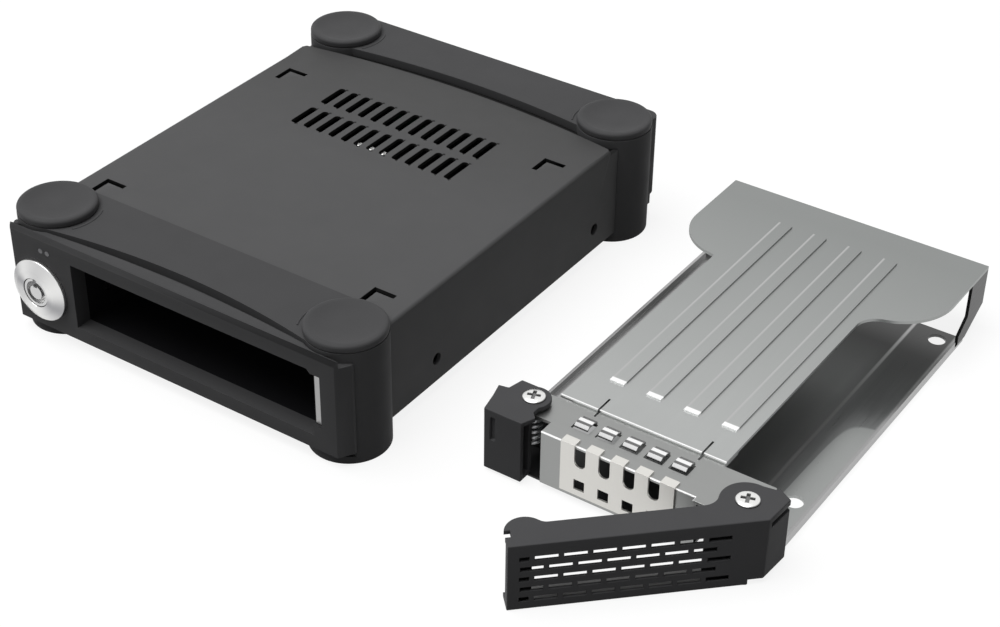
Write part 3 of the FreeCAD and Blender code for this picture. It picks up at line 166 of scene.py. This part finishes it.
class Finish(Nodes):
    """A procedural material that is being mixed."""

    def __init__(self, name, colour, roughness, metallic=0.0, specular=0.5):
        self.material = bpy.data.materials.new(name)
        self.material.use_nodes = True
        super().__init__(self.material.node_tree)
        self.shader = self.tree.nodes["Principled BSDF"]
        self.set("Base Color", (*colour, 1))
        self.set("Roughness", roughness)
        self.set("Metallic", metallic)
        self.set("Specular IOR Level", specular)

    def set(self, socket, value):
        """Set or link one of the shader's sockets."""
        self.feed(self.shader.inputs[socket], value)

    def axes(self, letters="XYZ"):
        """Object coordinates, in metres."""
        where = self.node("ShaderNodeTexCoord", {}, {}, "Object")
        return [self.node("ShaderNodeSeparateXYZ", {}, {0: where}, letter) for letter in letters]

    def noise(self, size, stretch=(1, 1, 1), detail=2.0, roughness=0.5):
        """Noise whose blotches are about a size across, in millimetres."""
        where = self.node("ShaderNodeTexCoord", {}, {}, "Object")
        grid = self.node("ShaderNodeMapping", {}, {"Vector": where, "Scale": stretch})
        return self.node("ShaderNodeTexNoise", {}, {
            "Vector": grid, "Scale": 1 / (size * MM), "Detail": detail, "Roughness": roughness}, "Fac")

    def blend(self, factor, first, second):
        """A colour between two colours, each a triple or an output."""
        ends = [end if isinstance(end, Value) else (*end, 1) for end in (first, second)]
        return self.node("ShaderNodeMix", {"data_type": "RGBA"}, {0: factor, 6: ends[0], 7: ends[1]}, 2)

    def paint(self, shade):
        """Colour the surface with an output."""
        self.shade = shade
        self.set("Base Color", shade)

    def tint(self, mask, colour):
        """Change the shade where the mask is one."""
        self.paint(self.blend(mask, self.shade, colour))

    def bump(self, height, strength, depth):
        """Raise the surface by an output, to a depth in millimetres."""
        self.set("Normal", self.node("ShaderNodeBump", {}, {
            "Height": height, "Strength": strength, "Distance": depth * MM}))


def grey(level):
    """An even grey."""
    return (level, level, level)


def shades(colour, spread):
    """A darker and a lighter shade of a colour."""
    return [tuple(part * (1 + sign * spread) for part in colour) for sign in (-1, 1)]


def grained(name, colour, roughness, grain, strength, specular, spread=0.08):
    """Matt moulded or coated surface: a fine grain, with slow changes of shade and gloss."""
    finish = Finish(name, colour, roughness, specular=specular)
    clouds = finish.noise(14, detail=3.0)
    patches = finish.noise(5)
    grains = finish.noise(grain, detail=3.0, roughness=0.65)
    finish.paint(finish.blend(clouds, *shades(colour, spread)))
    finish.set("Roughness", roughness - 0.06 + 0.12 * patches)
    finish.bump(grains, strength, 0.05)
    return finish


def steel(name, colour, roughness, streak, strength=0.12, spread=0.05):
    """Rolled sheet: long fine streaks one way, in shade, gloss and height."""
    finish = Finish(name, colour, roughness, metallic=1.0)
    lines = finish.noise(0.6, streak, detail=4.0, roughness=0.7)
    clouds = finish.noise(18)
    finish.paint(finish.blend(0.5 * lines + 0.5 * clouds, *shades(colour, spread)))
    finish.set("Roughness", roughness - 0.07 + 0.14 * lines)
    finish.bump(lines, strength, 0.02)
    return finish


def polished(name, colour, roughness, metallic=1.0):
    """Plated or polished surface with faint handling marks in its gloss."""
    finish = Finish(name, colour, roughness, metallic)
    marks = finish.noise(1.5, detail=5.0, roughness=0.7)
    finish.set("Roughness", roughness - 0.03 + 0.08 * marks)
    finish.paint(finish.blend(marks, *shades(colour, 0.03)))
    return finish


def powder(name):
    """Powder coat over sheet steel."""
    return grained(name, (0.094, 0.094, 0.096), roughness=0.58, grain=0.25, strength=0.30, specular=0.12, spread=0.05)


def cover_powder():
    """Powder coat of the cover, with painted shade: darker towards the rear, and near black on its cut edges and in its
    pressed notches.
    """
    finish = powder("cover_powder")
    x, y, z = finish.axes()
    painted_rear_shade = y.above(32, 60)
    shaded_cut_edges = z.below(27.02, 0.04) * abs(x).below(49.6, 0.1)
    # Painted shade: the cover is darker towards the rear, and near black on the walls of its cuts and notches.
    finish.tint(painted_rear_shade, grey(0.066))
    finish.tint(shaded_cut_edges, grey(0.012))
    return finish.material


def ribbed_plate():
    """Top plate of the tray, with painted light and shade: painted highlights on the rib ends, the rib shoulders and
    the front edge, and painted shade on the rib walls, the flanges and towards the rear.
    """
    finish = steel("ribbed_plate", (0.42, 0.43, 0.425), 0.34, ALONG)
    x, y, z = finish.axes()
    pitch = 9.8 * MM
    from_rib = ((x - 94.1 * MM) / pitch).maths("FRACT") * pitch
    rib = z.above(13.84, 0.03)
    painted_rear_shade = y.above(20, 90)
    rib_shoulder_highlight = z.above(14.15, 0.02) * from_rib.below(0.49, 0.294)
    rib_wall_shade = rib * z.below(14.13, 0.03)
    rib_end_highlight = rib * y.below(-21.9, 0.3)
    front_edge_highlight = y.below(-33.72, 0.06) * z.above(13.4, 0.1)
    flange_shade = z.below(12.9, 0.1)
    # Painted light and shade: darker towards the rear, painted highlights on rib shoulders, rib ends and the front
    # edge, and painted shade on rib walls and flanges.
    finish.tint(painted_rear_shade, (0.27, 0.28, 0.275))
    finish.tint(rib_shoulder_highlight, grey(0.46))
    finish.tint(rib_wall_shade, grey(0.22))
    finish.tint(rib_end_highlight, grey(0.95))
    finish.tint(front_edge_highlight, grey(0.95))
    finish.tint(flange_shade, grey(0.035))
    return finish.material


def floor_plate():
    """Floor plate of the tray, its light and shade painted: lighter under the top plate, darker towards the rear, a
    painted reflection of the plate, painted highlights along a pressed line and at both edges, and a painted shadow at
    the front.
    """
    finish = steel("floor_plate", (0.20, 0.205, 0.205), 0.30, ALONG, spread=0.25)
    x, y = finish.axes("XY")
    round_corner = (x - 137.6 * MM) * (16 * MM - y) / MM
    painted_light_under_plate = x.below(133.5, 6)
    painted_rear_shade = y.above(36, 24)
    pressed_line_highlight = x.between(133.5, 134.3, 0.4)
    mirrored_plate = round_corner.above(9, 4) * y.below(16, 1) * x.above(137.6, 0.5)
    right_edge_highlight = x.above(144.8, 0.6)
    front_shadow = y.below(-29, 4) * x.below(130, 4)
    left_edge_highlight = x.below(88, 2)
    # Painted light and shade: lighter under the top plate, painted shade rearwards, a painted reflection, painted
    # highlights on the line and edges, and a painted shadow.
    finish.tint(painted_light_under_plate, (0.40, 0.405, 0.405))
    finish.tint(painted_rear_shade, grey(0.10))
    finish.tint(pressed_line_highlight, grey(0.42))
    finish.tint(mirrored_plate, (0.34, 0.35, 0.345))
    finish.tint(right_edge_highlight, grey(0.36))
    finish.tint(front_shadow, grey(0.05))
    finish.tint(left_edge_highlight, grey(0.42))
    return finish.material


def folded_bracket():
    """Front bracket of the tray: a painted highlight along its front fold, and painted shade in the hollow behind the
    grille.
    """
    finish = steel("folded_bracket", (0.31, 0.315, 0.31), 0.36, ACROSS)
    x, y, z = finish.axes()
    hollow_shade = x.above(91.4, 0.1) * y.above(-46.6, 0.1) * z.below(12.1, 0.1)
    front_fold_highlight = y.below(-46.95, 0.1) * z.above(12.72, 0.1) * x.below(130.7, 0.1)
    # Painted shade in the hollow, and a painted highlight along the front fold.
    finish.tint(hollow_shade, grey(0.03))
    finish.tint(front_fold_highlight, grey(0.9))
    return finish.material


def finger_plate():
    """Spring fingers: a painted highlight on their crowns, over darker slopes."""
    finish = polished("finger_plate", grey(0.17), 0.26)
    y, z = finish.axes("YZ")
    crown_highlight = y.between(-39.9, -38.3, 0.2) * z.above(13.6, 0.2)
    # Painted highlight: the crowns are white where the light falls on them.
    finish.tint(crown_highlight, grey(0.93))
    return finish.material


def strike_steel():
    """Strike strip, painted dark as shade, with a narrow band left lighter."""
    finish = polished("strike_steel", grey(0.02), 0.35)
    [x] = finish.axes("X")
    # Painted shade: the strip is near black, except for a narrow band left lighter.
    unshaded_band = x.between(43.6, 45.0, 0.1)
    finish.tint(unshaded_band, grey(0.36))
    return finish.material


def screw_steel():
    """Screw heads, bright on the dome, with painted shade in the recess and at the rim."""
    finish = polished("screw_steel", (0.80, 0.80, 0.79), 0.26)
    [z] = finish.axes("Z")
    # Painted shade: below the dome the screw is darker.
    shade_under_dome = z.below(15.2, 0.06)
    finish.tint(shade_under_dome, grey(0.2))
    return finish.material


def swept_highlight_chrome():
    """Plated face of the lock, with painted highlights in three sweeps and painted shade in two streaks round its axis.
    """
    finish = polished("swept_highlight_chrome", grey(0.60), 0.30)
    x, z = finish.axes("XZ")
    centre = middle_of("lock_barrel") * MM
    angle = (z - centre.z).maths("ARCTAN2", x - centre.x)
    three_highlight_sweeps = 0.5 + 0.5 * (3 * angle + 0.6).maths("SINE")
    two_shade_streaks = (0.5 + 0.5 * (2 * angle + 2.4).maths("SINE")).maths("POWER", 6.0)
    # Painted highlights and painted shade in sweeps round the lock's axis.
    finish.tint(three_highlight_sweeps, (0.80, 0.80, 0.79))
    finish.tint(two_shade_streaks, (0.36, 0.36, 0.37))
    return finish.material


ACROSS = (0.03, 1.0, 1.0)
ALONG = (1.0, 0.03, 1.0)

POWDER = powder("powder_coat").material
COVER = cover_powder()
BEZEL = grained("bezel_plastic", (0.068, 0.068, 0.070), roughness=0.52, grain=0.18, strength=0.20,
                specular=0.09, spread=0.06).material
RUBBER = grained("bumper_rubber", (0.072, 0.072, 0.074), roughness=0.66, grain=0.22, strength=0.25,
                 specular=0.10, spread=0.06).material
PAD = grained("pad_rubber", (0.062, 0.062, 0.064), roughness=0.60, grain=0.20, strength=0.22,
              specular=0.16, spread=0.06).material
LEVER = grained("lever_plastic", (0.081, 0.081, 0.084), roughness=0.55, grain=0.16, strength=0.22,
                specular=0.05, spread=0.06).material
# Painted light: the ledge's plastic is a lighter copy of the lever's, as if lit from behind.
LIT_LEDGE = grained("lit_ledge_plastic", grey(0.20), roughness=0.55, grain=0.16, strength=0.2, specular=0.1).material
# Painted shade: the bay's near black stands for the unlit inside of the bay.
BAY_SHADE_BLACK = grained("bay_black", (0.008, 0.008, 0.009), roughness=0.70, grain=0.30, strength=0.20,
                specular=0.05, spread=0.10).material
BOARD = grained("circuit_board", (0.020, 0.085, 0.045), roughness=0.40, grain=0.40, strength=0.10,
                specular=0.40, spread=0.15).material
SOCKET = grained("socket_plastic", (0.020, 0.020, 0.021), roughness=0.45, grain=0.20, strength=0.15,
                 specular=0.35, spread=0.10).material
PLATE = ribbed_plate()
FLOOR = floor_plate()
BRACKET = folded_bracket()
GRILLE = steel("grille_steel", (0.66, 0.65, 0.62), 0.42, ACROSS, strength=0.06).material
ZINC = steel("zinc_plate", (0.60, 0.61, 0.62), 0.40, ALONG).material
BRIGHT = polished("bright_steel", (0.80, 0.80, 0.79), 0.26).material
KEYWAY = polished("plug_steel", grey(0.60), 0.30).material
LENS = polished("smoked_lens", (0.16, 0.16, 0.17), 0.25, metallic=0.0).material
FINGER = finger_plate()
STRIKE = strike_steel()
SCREW = screw_steel()
CHROME = swept_highlight_chrome()

FINISHES = {
    # the cage's shells and rubber
    "base_pan": POWDER, "top_cover": COVER, "rear_panel": POWDER, "front_bezel": BEZEL,
    "front_bumper": RUBBER, "rear_bumper": RUBBER,
    "top_pad_front_left": PAD, "top_pad_front_right": PAD, "top_pad_rear_left": PAD, "top_pad_rear_right": PAD,
    # its lock, lights and bay
    "lock_barrel": CHROME, "lock_plug": KEYWAY, "lock_cam": ZINC, "lock_nut": ZINC, "cam_screw": ZINC,
    "status_lights": LENS, "bay_cradle": BAY_SHADE_BLACK, "strike_strip": STRIKE,
    # its boards and ports
    "main_board": BOARD, "backplane_board": BOARD, "board_screws": ZINC, "board_link": SOCKET,
    "drive_socket": SOCKET, "power_jack": SOCKET, "usb_port": ZINC, "switch_frame": SOCKET, "switch_rocker": SOCKET,
    # the tray
    "tray_base": FLOOR, "tray_top": PLATE, "tray_bracket": BRACKET, "vent_grille": GRILLE,
    "contact_fingers": FINGER, "lever": LEVER, "latch_block": LEVER, "lever_screw": SCREW,
    "latch_screw": SCREW, "light_pipe": LENS,
}

# Nodes whose own shape only needs its hard edges rounded, and by how much.
SOFT = {
    "front_bumper": 0.45, "rear_bumper": 0.45, "latch_block": 0.25,
    "tray_base": 0.1, "tray_top": 0.1, "tray_bracket": 0.1, "contact_fingers": 0.1, "vent_grille": 0.08,
    "lock_plug": 0.1, "strike_strip": 0.1,
}


# ---------------------------------------------------------------- what pieces ride on

def dress(obj, finish):
    """Give an object one finish all over."""
    obj.data.materials.clear()
    obj.data.materials.append(finish)


def body_of(node):
    """The name of the body that carries a node."""
    bodies = frame["record"]["behaviour"]["bodies"]
    return next(body for body, members in bodies.items() if node in members)


def stand_in(piece, node):
    """Let a piece stand for a node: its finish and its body."""
    dress(piece, FINISHES[node])
    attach(piece, body_of(node))
    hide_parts(node)


def add_on(piece, carrier, finish):
    """Let a piece without a node of its own ride with a node's body, in a finish given to it."""
    dress(piece, finish)
    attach(piece, body_of(carrier))


# ---------------------------------------------------------------- tools of the bench

def select_only(obj):
    bpy.ops.object.select_all(action="DESELECT")
    obj.select_set(True)
    bpy.context.view_layer.objects.active = obj


def modify(piece, kind, **settings):
    """Add a modifier and apply it."""
    select_only(piece)
    modifier = piece.modifiers.new("change", kind)
    for key, value in settings.items():
        setattr(modifier, key, value)
    bpy.ops.object.modifier_apply(modifier=modifier.name)


def edit(piece, *steps):
    """Run steps in edit mode, each an operator and its settings."""
    select_only(piece)
    bpy.ops.object.mode_set(mode="EDIT")
    for operator, settings in steps:
        operator(**settings)
    bpy.ops.object.mode_set(mode="OBJECT")


# Steps for edit: each is an operator with its settings.

ALL = bpy.ops.mesh.select_all, {"action": "SELECT"}
NONE = bpy.ops.mesh.select_all, {"action": "DESELECT"}
ONE_FLAT = bpy.ops.mesh.dissolve_limited, {"angle_limit": FLAT}
OUTWARDS = bpy.ops.mesh.normals_make_consistent, {"inside": False}


def selecting(kind):
    """Work on faces or on edges."""
    return bpy.ops.mesh.select_mode, {"type": kind}


def inset(width):
    """Draw the edge of the picked faces in, by a width."""
    return bpy.ops.mesh.inset, {"thickness": width * MM}


def shift(*way):
    """Move what is picked."""
    return bpy.ops.transform.translate, {"value": Vector(way) * MM}


def extrude(*way):
    """Pull the picked faces out, or push them in, with walls of their own."""
    return bpy.ops.mesh.extrude_region_move, {"TRANSFORM_OT_translate": {"value": Vector(way) * MM}}


def cut(spot, way):
    """Cut off what lies on the way's side of a spot, and close the cut."""
    return bpy.ops.mesh.bisect, {"plane_co": Vector(spot) * MM, "plane_no": way, "use_fill": True, "clear_outer": True}


def mark(piece, parts, chosen):
    """Select the chosen ones of a piece's faces or edges, and nothing else."""
    mesh = piece.data
    for other in (*mesh.vertices, *mesh.edges, *mesh.polygons):
        other.select = False
    for part, wish in zip(parts, chosen):
        part.select = bool(wish)


def pick(piece, wanted):
    """Select the faces that are wanted."""
    edit(piece, selecting("FACE"), NONE)
    faces = piece.data.polygons
    mark(piece, faces, [wanted(face) for face in faces])


def round_edges(piece, width, segments, wanted):
    """Round the hard edges that are wanted, asked by their two ends."""
    edit(piece, selecting("EDGE"), NONE, (bpy.ops.mesh.edges_select_sharp, {"sharpness": HARD}))
    corners, edges = piece.data.vertices, piece.data.edges
    mark(piece, edges, [edge.select and wanted(*(corners[index].co / MM for index in edge.vertices)) for edge in edges])
    edit(piece, (bpy.ops.mesh.bevel, {"offset": width * MM, "segments": segments, "clamp_overlap": True}))


def even_shading(piece, angle=32):
    """Smooth rounded edges and keep the flats flat."""
    select_only(piece)
    bpy.ops.object.shade_smooth_by_angle(angle=radians(angle))
    modify(piece, "WEIGHTED_NORMAL", keep_sharp=True)


def upright(a, b):
    """Whether an edge between two corners stands upright."""
    return abs(a.x - b.x) < 0.01 and abs(a.y - b.y) < 0.01


def settle(piece, name):
    """Name a piece and put its place into its mesh."""
    piece.name = name
    select_only(piece)
    bpy.ops.object.transform_apply(location=True, rotation=True, scale=True)
    return piece


def cylinder(name, radius, depth, centre, vertices, tilt=0):
    """A closed cylinder, upright or tilted about x."""
    bpy.ops.mesh.primitive_cylinder_add(vertices=vertices, radius=radius * MM, depth=depth * MM, end_fill_type="NGON",
                                        location=Vector(centre) * MM, rotation=(radians(tilt), 0, 0))
    return settle(bpy.context.object, name)


def bar(name, centre, size, turn=0):
    """A bar about its centre, turned about z."""
    bpy.ops.mesh.primitive_cube_add(size=1, location=Vector(centre) * MM, rotation=(0, 0, radians(turn)),
                                    scale=Vector(size) * MM)
    return settle(bpy.context.object, name)


def block(name, low, high):
    """A block between two corners."""
    low, high = Vector(low), Vector(high)
    return bar(name, (low + high) / 2, high - low)


def joined(pieces):
    """Make several pieces one."""
    select_only(pieces[0])
    for piece in pieces[1:]:
        piece.select_set(True)
    bpy.ops.object.join()
    return pieces[0]


def merged_copy(node, whole=True):
    """A copy of a node's own shape, with its corners joined, and its flat faces made whole."""
    source = frame["nodes"][node]
    piece = source.copy()
    piece.data = source.data.copy()
    piece.parent = None
    piece.name = f"soft_{node}"
    bpy.context.scene.collection.objects.link(piece)
    edit(piece, ALL, (bpy.ops.mesh.remove_doubles, {"threshold": 0.002 * MM}))
    if whole:
        edit(piece, ONE_FLAT)
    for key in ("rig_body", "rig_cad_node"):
        if key in piece:
            del piece[key]
    return piece


# ---------------------------------------------------------------- pieces that stand for a node

def softened(node, width):
    """A node's own shape with its hard edges rounded."""
    piece = merged_copy(node)
    modify(piece, "BEVEL", width=width * MM, segments=2, limit_method="ANGLE", angle_limit=HARD,
           use_clamp_overlap=True, miter_outer="MITER_ARC")
    even_shading(piece)
    stand_in(piece, node)


def folded_cover():
    """The sheet cover, its vents' ends rounded and its two long folds bent over a small radius."""
    def vent_corner(a, b):
        return upright(a, b) and abs(a.x) < 30 and 9 < a.y < 33

    def long_fold(a, b):
        return min(a.z, b.z) > 27 and min(abs(a.x), abs(b.x)) > 50.7 and abs(a.y - b.y) > 5

    piece = merged_copy("top_cover", whole=False)
    round_edges(piece, 0.9, 3, vent_corner)
    round_edges(piece, 0.9, 4, long_fold)
    even_shading(piece)
    stand_in(piece, "top_cover")


def rolled_bezel():
    """The bezel, its chamfered crest and ends shaded as one smooth roll."""
    piece = merged_copy("front_bezel")
    even_shading(piece, 62)
    stand_in(piece, "front_bezel")


def moulded_lever():
    """The lever, with the rim of its top and its long corners rounded."""
    piece = merged_copy("lever", whole=False)
    pick(piece, lambda face: face.normal.z > 0.99 and face.center.z > 14.7 * MM)
    edit(piece, ONE_FLAT)
    round_edges(piece, 0.25, 2, lambda a, b: min(a.z, b.z) > 14.79 or (a - b).length > 8)
    even_shading(piece)
    stand_in(piece, "lever")


def pad(node):
    """Rubber pad: a rolled rim round a shallow dish."""
    low, high = box_of(node)
    size = high - low
    rim, slope, bowl = 1.7, 1.2, 4.0
    slope_drop, bowl_drop = 0.55, 0.3
    rim_radius, foot_radius = 0.8, 0.5
    piece = cylinder(f"dished_{node}", size.x / 2, size.z, (low + high) / 2, 96)
    pick(piece, lambda face: face.normal.z > 0.9)
    edit(piece, inset(rim), inset(slope), shift(0, 0, -slope_drop), inset(bowl), shift(0, 0, -bowl_drop))
    round_edges(piece, rim_radius, 5, lambda a, b: abs(a.z - b.z) < 0.01 and a.z > high.z - 0.1)
    round_edges(piece, foot_radius, 3, lambda a, b: max(a.z, b.z) < low.z + 0.1)
    even_shading(piece, 60)
    stand_in(piece, node)


def cross_screw(node, shank_end):
    """Domed screw head with a cross recess, and its shank down to a height."""
    top, middle = box_of(node)[1].z, middle_of(node)
    head_radius, rim, shank_radius = 2.75, 0.25, 1.05
    shoulder, shoulder_rise = 0.35, 0.2
    dome, dome_rise = 0.9, 0.15
    recess_length, recess_width, recess_depth = 3.2, 0.9, 0.19
    blade_height = 1.1
    blade_middle = top - recess_depth + blade_height / 2
    piece = cylinder(f"cross_{node}", head_radius, rim, (middle.x, middle.y, top - rim / 2), 48)
    pick(piece, lambda face: face.normal.z > 0.9)
    edit(piece, inset(shoulder), shift(0, 0, shoulder_rise), inset(dome), shift(0, 0, dome_rise))
    pick(piece, lambda face: face.normal.z < -0.9)
    edit(piece, inset(head_radius - shank_radius), extrude(0, 0, shank_end - (top - rim)))
    for turn in (20, 110):
        blade = bar("driver_blade", (middle.x, middle.y, blade_middle), (recess_length, recess_width, blade_height),
                    turn)
        modify(piece, "BOOLEAN", operation="DIFFERENCE", object=blade, solver="EXACT")
        bpy.data.objects.remove(blade)
    even_shading(piece, 40)
    stand_in(piece, node)


def lock_face():
    """Key lock's barrel: a proud rim with a broad bevel round the plug's well, and its tube behind."""
    middle = middle_of("lock_barrel")
    face_radius, rim = 8.4, 1.1
    bevel_width, bevel_rise = 2.4, 1.3
    flat_width, well_depth = 2.05, 2.2
    shoulder, tube_length = 2.4, 11.0
    piece = cylinder("turned_lock_barrel", face_radius, rim, (middle.x, BEZEL_FACE - rim / 2, middle.z), 96, tilt=90)
    pick(piece, lambda face: face.normal.y < -0.9)
    edit(piece, inset(bevel_width), shift(0, -bevel_rise, 0), inset(flat_width), extrude(0, well_depth, 0))
    pick(piece, lambda face: face.normal.y > 0.9 and face.center.y > (BEZEL_FACE - 0.1) * MM and face.area > 1e-5)
    edit(piece, inset(shoulder), extrude(0, tube_length, 0))
    modify(piece, "BEVEL", width=0.2 * MM, segments=2, limit_method="ANGLE", angle_limit=radians(24))
    even_shading(piece, 40)
    stand_in(piece, "lock_barrel")


# ---------------------------------------------------------------- small pieces without a node

def lever_lining():
    """Inner walls of the lever: one behind the slots at its tip, one towards its heel, and the deep
    floor under them. Laid out with the lever shut, then turned open with it."""
    walls = [block("lever_lining", (89.0, -49.3, -1.8), (93.8, -48.7, 13.6)),
             block("lever_lining", (130.6, -49.3, -1.8), (143.0, -48.7, 12.0)),
             block("lever_lining", (91.3, -46.0, -3.0), (138.0, -43.9, -1.95))]
    for wall in walls:
        round_edges(wall, 0.2, 2, lambda a, b: True)
    ledge = block("lever_ledge", (91.3, -49.85, -1.94), (138.0, -43.95, -1.68))
    round_edges(ledge, 0.05, 2, lambda a, b: True)
    swing = Matrix.Translation(LEVER_PIVOT) @ Matrix.Rotation(LEVER_SWING, 4, "Z") @ Matrix.Translation(-LEVER_PIVOT)
    # Painted light and shade: the walls wear near-black socket plastic as painted shade, and the ledge a lighter
    # plastic as painted light.
    for piece, finish in ((joined(walls), SOCKET), (ledge, LIT_LEDGE)):
        piece.matrix_world = swing
        settle(piece, piece.name)
        even_shading(piece, 40)
        add_on(piece, "lever", finish)


def latch_backing():
    """Dark upright wall behind the latch block, with a pressed panel, and the shelf under it."""
    wall = block("latch_backing", (78.6, -36.5, -2.1), (90.9, -35.5, 12.1))
    pick(wall, lambda face: face.normal.y < -0.9)
    edit(wall, inset(1.6), shift(0, 0.4, 0))
    shelf = block("latch_shelf", (79.0, -45.6, -2.95), (90.9, -35.5, -2.3))
    piece = joined([wall, shelf])
    round_edges(piece, 0.2, 2, lambda a, b: True)
    even_shading(piece, 40)
    # Painted shade: the wall and its shelf wear near-black socket plastic.
    add_on(piece, "tray_bracket", SOCKET)


def strap_bead(corner):
    """Raised arc on a bumper's strap beside a pad: a ring cut on three sides."""
    middle = middle_of(f"top_pad_{corner}")
    outwards = 1 if middle.x > 0 else -1
    ring_radius, bead_radius, ring_height = 11.2, 0.28, 28.05
    inwards_reach, half_width = 6, 5.2
    bpy.ops.mesh.primitive_torus_add(major_radius=ring_radius * MM, minor_radius=bead_radius * MM, major_segments=128,
                                     minor_segments=8, location=Vector((middle.x, middle.y, ring_height)) * MM)
    piece = settle(bpy.context.object, f"strap_bead_{corner}")
    edit(piece, ALL, cut((middle.x - outwards * inwards_reach, middle.y, 0), (outwards, 0, 0)))
    edit(piece, ALL, cut((middle.x, middle.y + half_width, 0), (0, 1, 0)))
    edit(piece, ALL, cut((middle.x, middle.y - half_width, 0), (0, -1, 0)))
    edit(piece, ALL, OUTWARDS)
    even_shading(piece, 60)
    add_on(piece, "front_bumper", RUBBER)


def latch_spring():
    """Coil spring round the latch's screw, under the bracket's left wing."""
    wire_radius, coil_radius, pitch, turns, foot = 0.45, 2.5, 1.55, 6, 2.2
    bpy.ops.mesh.primitive_circle_add(vertices=8, radius=wire_radius * MM, fill_type="NGON",
                                      location=(coil_radius * MM, 0, 0), rotation=(radians(90), 0, 0))
    piece = settle(bpy.context.object, "latch_spring")
    modify(piece, "SCREW", axis="Z", angle=radians(360), screw_offset=pitch * MM, iterations=turns, steps=24,
           render_steps=24, use_normal_calculate=True)
    edit(piece, ALL, OUTWARDS)
    middle = middle_of("latch_screw")
    piece.location = Vector((middle.x, middle.y, foot)) * MM
    settle(piece, "latch_spring")
    even_shading(piece, 60)
    add_on(piece, "tray_bracket", ZINC)


def vent_rivets():
    """Three bright rivets on the cradle's roof, seen through the front row of vents."""
    middle, spacing = Vector((-3.3, 15.0, 23.85)), Vector((3.9, 0, 0))
    radius, height = 1.0, 0.9
    rivets = [cylinder("vent_rivets", radius, height, middle + step * spacing, 24) for step in (-1, 0, 1)]
    for rivet in rivets:
        round_edges(rivet, 0.35, 3, lambda a, b: min(a.z, b.z) > 24.1)
    piece = joined(rivets)
    even_shading(piece, 50)
    add_on(piece, "bay_cradle", BRIGHT)


# ---------------------------------------------------------------- studio

def seen_or_mirrored(nodes, *others):
    """One where the camera looks straight or by a reflection, nought for plain light."""
    total = nodes.node("ShaderNodeLightPath", {}, {}, "Is Camera Ray")
    path = total.socket.node
    for name in ("Is Glossy Ray", *others):
        total = total.maths("ADD", Value(nodes, path.outputs[name]), clamp=True)
    return total


def studio():
    """Pale floor that keeps a soft shadow, white surroundings and an overhead lamp."""
    gap_under_feet = 0.02 * MM
    floor_height = CAD_BOX[0][2] - gap_under_feet
    bpy.ops.mesh.primitive_plane_add(size=6, location=(0, 0, floor_height))
    floor = settle(bpy.context.object, "studio_floor")
    finish = Finish("floor_paper", grey(0.18), 0.9, specular=0.0)
    glow = finish.blend(seen_or_mirrored(finish, "Is Transmission Ray"), grey(0), grey(0.86))
    finish.set("Emission Color", glow)
    finish.set("Emission Strength", 1.0)
    dress(floor, finish.material)

    world = bpy.data.worlds.new("studio_air")
    bpy.context.scene.world = world
    world.use_nodes = True
    air = Nodes(world.node_tree)
    back = air.tree.nodes["Background"]
    light_on_object, light_seen = 0.17, 1.0
    strength = air.node("ShaderNodeMix", {"data_type": "FLOAT"}, {
        0: seen_or_mirrored(air), 2: light_on_object, 3: light_seen})
    air.feed(back.inputs["Strength"], strength)
    air.feed(back.inputs["Color"], (1, 1, 1, 1))

    lamp = bpy.data.lights.new("overhead", "SUN")
    lamp.energy = 2.4
    lamp.angle = radians(50)
    hung = bpy.data.objects.new("overhead", lamp)
    hung.rotation_euler = (radians(12), radians(-14), 0)
    bpy.context.scene.collection.objects.link(hung)


def camera():
    """A long lens from the front right, above."""
    azimuth, elevation, roll = radians(33.954), radians(34.887), radians(0.695)
    place = Vector((283.886, -350.617, 295.446)) * MM
    back = Vector((sin(azimuth) * cos(elevation), -cos(azimuth) * cos(elevation), sin(elevation)))
    flat_right = Vector((cos(azimuth), sin(azimuth), 0))
    right = cos(roll) * flat_right + sin(roll) * back.cross(flat_right)
    up = back.cross(right)
    lens = bpy.data.cameras.new("studio_camera")
    lens.sensor_width = 36
    lens.lens = 73.73
    lens.clip_start = 0.01
    lens.clip_end = 20
    stand = bpy.data.objects.new("studio_camera", lens)
    stand.matrix_world = Matrix.Translation(place) @ Matrix((right, up, back)).transposed().to_4x4()
    bpy.context.scene.collection.objects.link(stand)
    bpy.context.scene.camera = stand


# ---------------------------------------------------------------- the whole

for name, obj in frame["nodes"].items():
    dress(obj, FINISHES[name])
for node, width in SOFT.items():
    softened(node, width)
folded_cover()
rolled_bezel()
moulded_lever()
for end in ("front", "rear"):
    for side in ("left", "right"):
        pad(f"top_pad_{end}_{side}")
lever_lining()
latch_backing()
cross_screw("lever_screw", 12.25)
cross_screw("latch_screw", 1.85)
lock_face()
for side in ("left", "right"):
    for end in ("front", "rear"):
        strap_bead(f"{end}_{side}")
latch_spring()
vent_rivets()

studio()
camera()
bpy.context.scene.view_settings.view_transform = "Standard"
